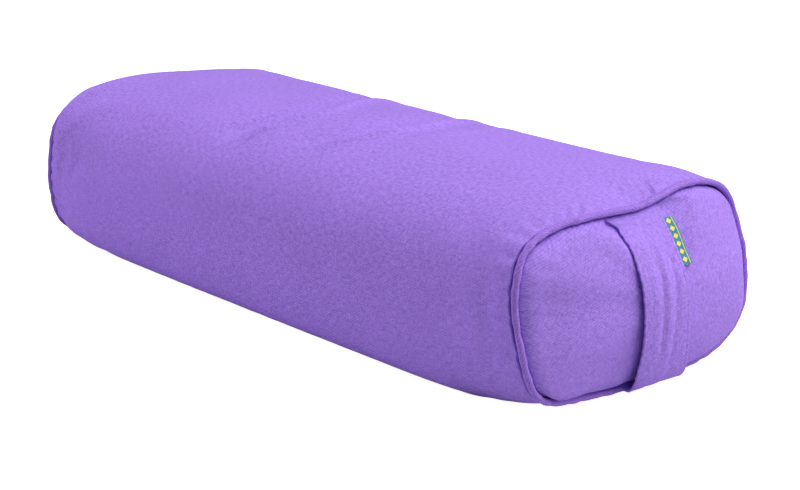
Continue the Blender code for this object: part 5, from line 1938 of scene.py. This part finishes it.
def softened(name, outside, depth, rough):
    """Copy of a hidden soft solid, finer and uneven, and pressed in wherever the cover is."""
    made, bm = merged_copy(f"{name}_cloth", name)
    for _ in range(SPLIT_ROUNDS):
        long_edges = [edge for edge in bm.edges if edge.calc_length() > LONGEST_EDGE]
        if not long_edges:
            break
        bmesh.ops.subdivide_edges(bm, edges=long_edges, cuts=1)
        bmesh.ops.triangulate(bm, faces=[face for face in bm.faces if len(face.verts) > 3])
    bm.normal_update()
    rng = np.random.default_rng(len(name))
    waves = [(rng.normal(0, 1, 3) / SWELL_LENGTH, rng.uniform(0, SWELL_PHASES)) for _ in range(SWELLS)]
    for vertex in bm.verts:
        place = np.array(vertex.co)
        swell = sum(math.sin(float(place @ turn) + phase) for turn, phase in waves) / SWELLS
        vertex.co -= vertex.normal * rough * (0.5 + 0.5 * swell)
        for _ in range(PRESS_ROUNDS):
            nearest, facing, _, _ = outside.find_nearest(vertex.co)
            wanted = depth if vertex.normal.dot(facing) > 0 else depth + LINER_CLOTH
            short = (vertex.co - nearest).dot(facing) + wanted
            vertex.co -= facing * max(short, 0.0)
    bm.to_mesh(made.data)
    bm.free()
    made.data.shade_smooth()
    layer = made.data.uv_layers.get("weave") or made.data.uv_layers.new(name="weave")
    places = np.empty(len(made.data.vertices) * 3)
    made.data.vertices.foreach_get("co", places)
    corners = np.empty(len(made.data.loops), int)
    made.data.loops.foreach_get("vertex_index", corners)
    flat = places.reshape(-1, 3)[corners][:, [0, 1]]
    layer.data.foreach_set("uv", flat.astype(np.float32).ravel())
    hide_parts(name)
    return made


def skin_tree():
    """Search tree of the cover's outside."""
    points, faces = [], []
    for name in ("cover_body_skin", "near_end_skin", "far_end_skin"):
        mesh = bpy.data.objects[name].data
        start = len(points)
        points += [vertex.co.copy() for vertex in mesh.vertices]
        marks = mesh.attributes["outside"].data
        faces += [
            [start + number for number in face.vertices] for face in mesh.polygons if marks[face.index].value
        ]
    return BVHTree.FromPolygons(points, faces)


# Stage


CAMERA_PLACE = Vector((1.0441, -0.9381, 0.4864))
CAMERA_TURN = (math.radians(90 - 17.49), 0.0, math.radians(47.11))
CAMERA_LENS = 79.11
SENSOR_WIDTH = 36.0
FLOOR_REACH, FLOOR_ROWS, FLOOR_LEVEL = 6.0, 24, -0.2 * MM

# Lights by name: place, the point it faces, width and height, and a faint tint
LIGHTS = {
    "key": ((0.9, 0.8, 2.5), (0.0, 0.0, 0.1), (3.0, 3.0), (1.0, 1.0, 0.97)),
    "fill": ((1.65, 2.15, 0.36), (0.3, 0.0, 0.06), (1.8, 0.7), (1.0, 0.93, 0.96)),
    "front": ((-2.45, -2.0, 0.8), (-0.15, 0.0, 0.07), (2.0, 1.2), (0.93, 0.82, 1.0)),
}


def soft_light(name, power):
    """Large rectangular light that faces a point."""
    place, target, size, color = LIGHTS[name]
    data = bpy.data.lights.new(f"{name}_light", "AREA")
    data.shape = "RECTANGLE"
    data.size, data.size_y = size
    data.energy = power
    data.color = color
    made = linked(f"{name}_light", data)
    made.location = place
    made.rotation_euler = (Vector(target) - Vector(place)).to_track_quat("-Z", "Y").to_euler()
    return made


def floor_material(color, glow):
    """Matt floor with a faint unevenness, which reads as white in the picture."""
    made, tree, shader = new_material("pale floor", 0.9, Specular_IOR_Level=0.1)
    uneven = noise(tree, add(tree, "ShaderNodeTexCoord").outputs["Object"], 3.0, 3.0)
    shade = blend_color(tree, uneven, (*darker(color, 0.985), 1.0), (*color, 1.0))
    tree.links.new(shade, shader.inputs["Base Color"])
    shader.inputs["Emission Color"].default_value = (1.0, 1.0, 1.0, 1.0)
    seen = add(tree, "ShaderNodeLightPath").outputs["Is Camera Ray"]
    tree.links.new(calc(tree, "MULTIPLY", seen, glow), shader.inputs["Emission Strength"])
    return made


class BOLSTER_OT_stage(bpy.types.Operator):
    """Set the pale floor, the soft lights and the camera"""
    bl_idname = "bolster.stage"
    bl_label = "Stage"

    def execute(self, context):
        scene = context.scene
        given = scene.bolster_stage
        line = np.linspace(-FLOOR_REACH, FLOOR_REACH, FLOOR_ROWS + 1)
        x, y = np.meshgrid(line, line, indexing="ij")
        quads, _ = grid_quads(len(line), len(line))
        floor = make_mesh("floor", np.stack([x, y, np.full_like(x, FLOOR_LEVEL)], -1), quads.tolist())
        floor.data.materials.append(floor_material(given.floor_color, given.floor_glow))
        soft_light("key", given.key_power)
        soft_light("fill", given.fill_power)
        soft_light("front", given.front_power)
        world = bpy.data.worlds.new("white surround")
        world.use_nodes = True
        tree = world.node_tree
        color, strength = tree.nodes["Background"].inputs[:2]
        color.default_value = (1.0, 1.0, 1.0, 1.0)
        seen = add(tree, "ShaderNodeLightPath").outputs["Is Camera Ray"]
        shown = calc(tree, "MULTIPLY_ADD", seen, 1.0 - given.sky_strength, given.sky_strength)
        tree.links.new(shown, strength)
        scene.world = world
        scene.view_settings.view_transform = "Standard"
        data = bpy.data.cameras.new("camera")
        data.lens = CAMERA_LENS
        data.sensor_width = SENSOR_WIDTH
        data.dof.use_dof = False
        camera = linked("camera", data)
        camera.location = CAMERA_PLACE
        camera.rotation_euler = CAMERA_TURN
        scene.camera = camera
        return {"FINISHED"}


# Add-on


OPERATORS = (
    BOLSTER_OT_stage,
    BOLSTER_OT_cover_body,
    BOLSTER_OT_end_panels,
    BOLSTER_OT_piping,
    BOLSTER_OT_handle,
    BOLSTER_OT_label_tab,
    BOLSTER_OT_zip,
    BOLSTER_OT_slider,
    BOLSTER_OT_filling,
)


class BOLSTER_PT_panel(bpy.types.Panel):
    """Lists the bolster's settings and its pieces"""
    bl_label = "Bolster"
    bl_idname = "BOLSTER_PT_panel"
    bl_space_type = "VIEW_3D"
    bl_region_type = "UI"
    bl_category = "Bolster"

    def draw(self, context):
        for label, kind in SETTINGS.items():
            box = self.layout.box()
            box.label(text=kind.__doc__)
            for name in kind.__annotations__:
                box.prop(getattr(context.scene, label), name)
        for operator in OPERATORS:
            self.layout.operator(operator.bl_idname)


CLASSES = (*SETTINGS.values(), *OPERATORS, BOLSTER_PT_panel)


def register():
    for kind in CLASSES:
        bpy.utils.register_class(kind)
    for label, kind in SETTINGS.items():
        setattr(bpy.types.Scene, label, PointerProperty(type=kind))


def unregister():
    for label in SETTINGS:
        delattr(bpy.types.Scene, label)
    for kind in reversed(CLASSES):
        bpy.utils.unregister_class(kind)


def main():
    register()
    for operator in OPERATORS:
        group, name = operator.bl_idname.split(".")
        getattr(getattr(bpy.ops, group), name)()


if __name__ == "__main__":
    main()
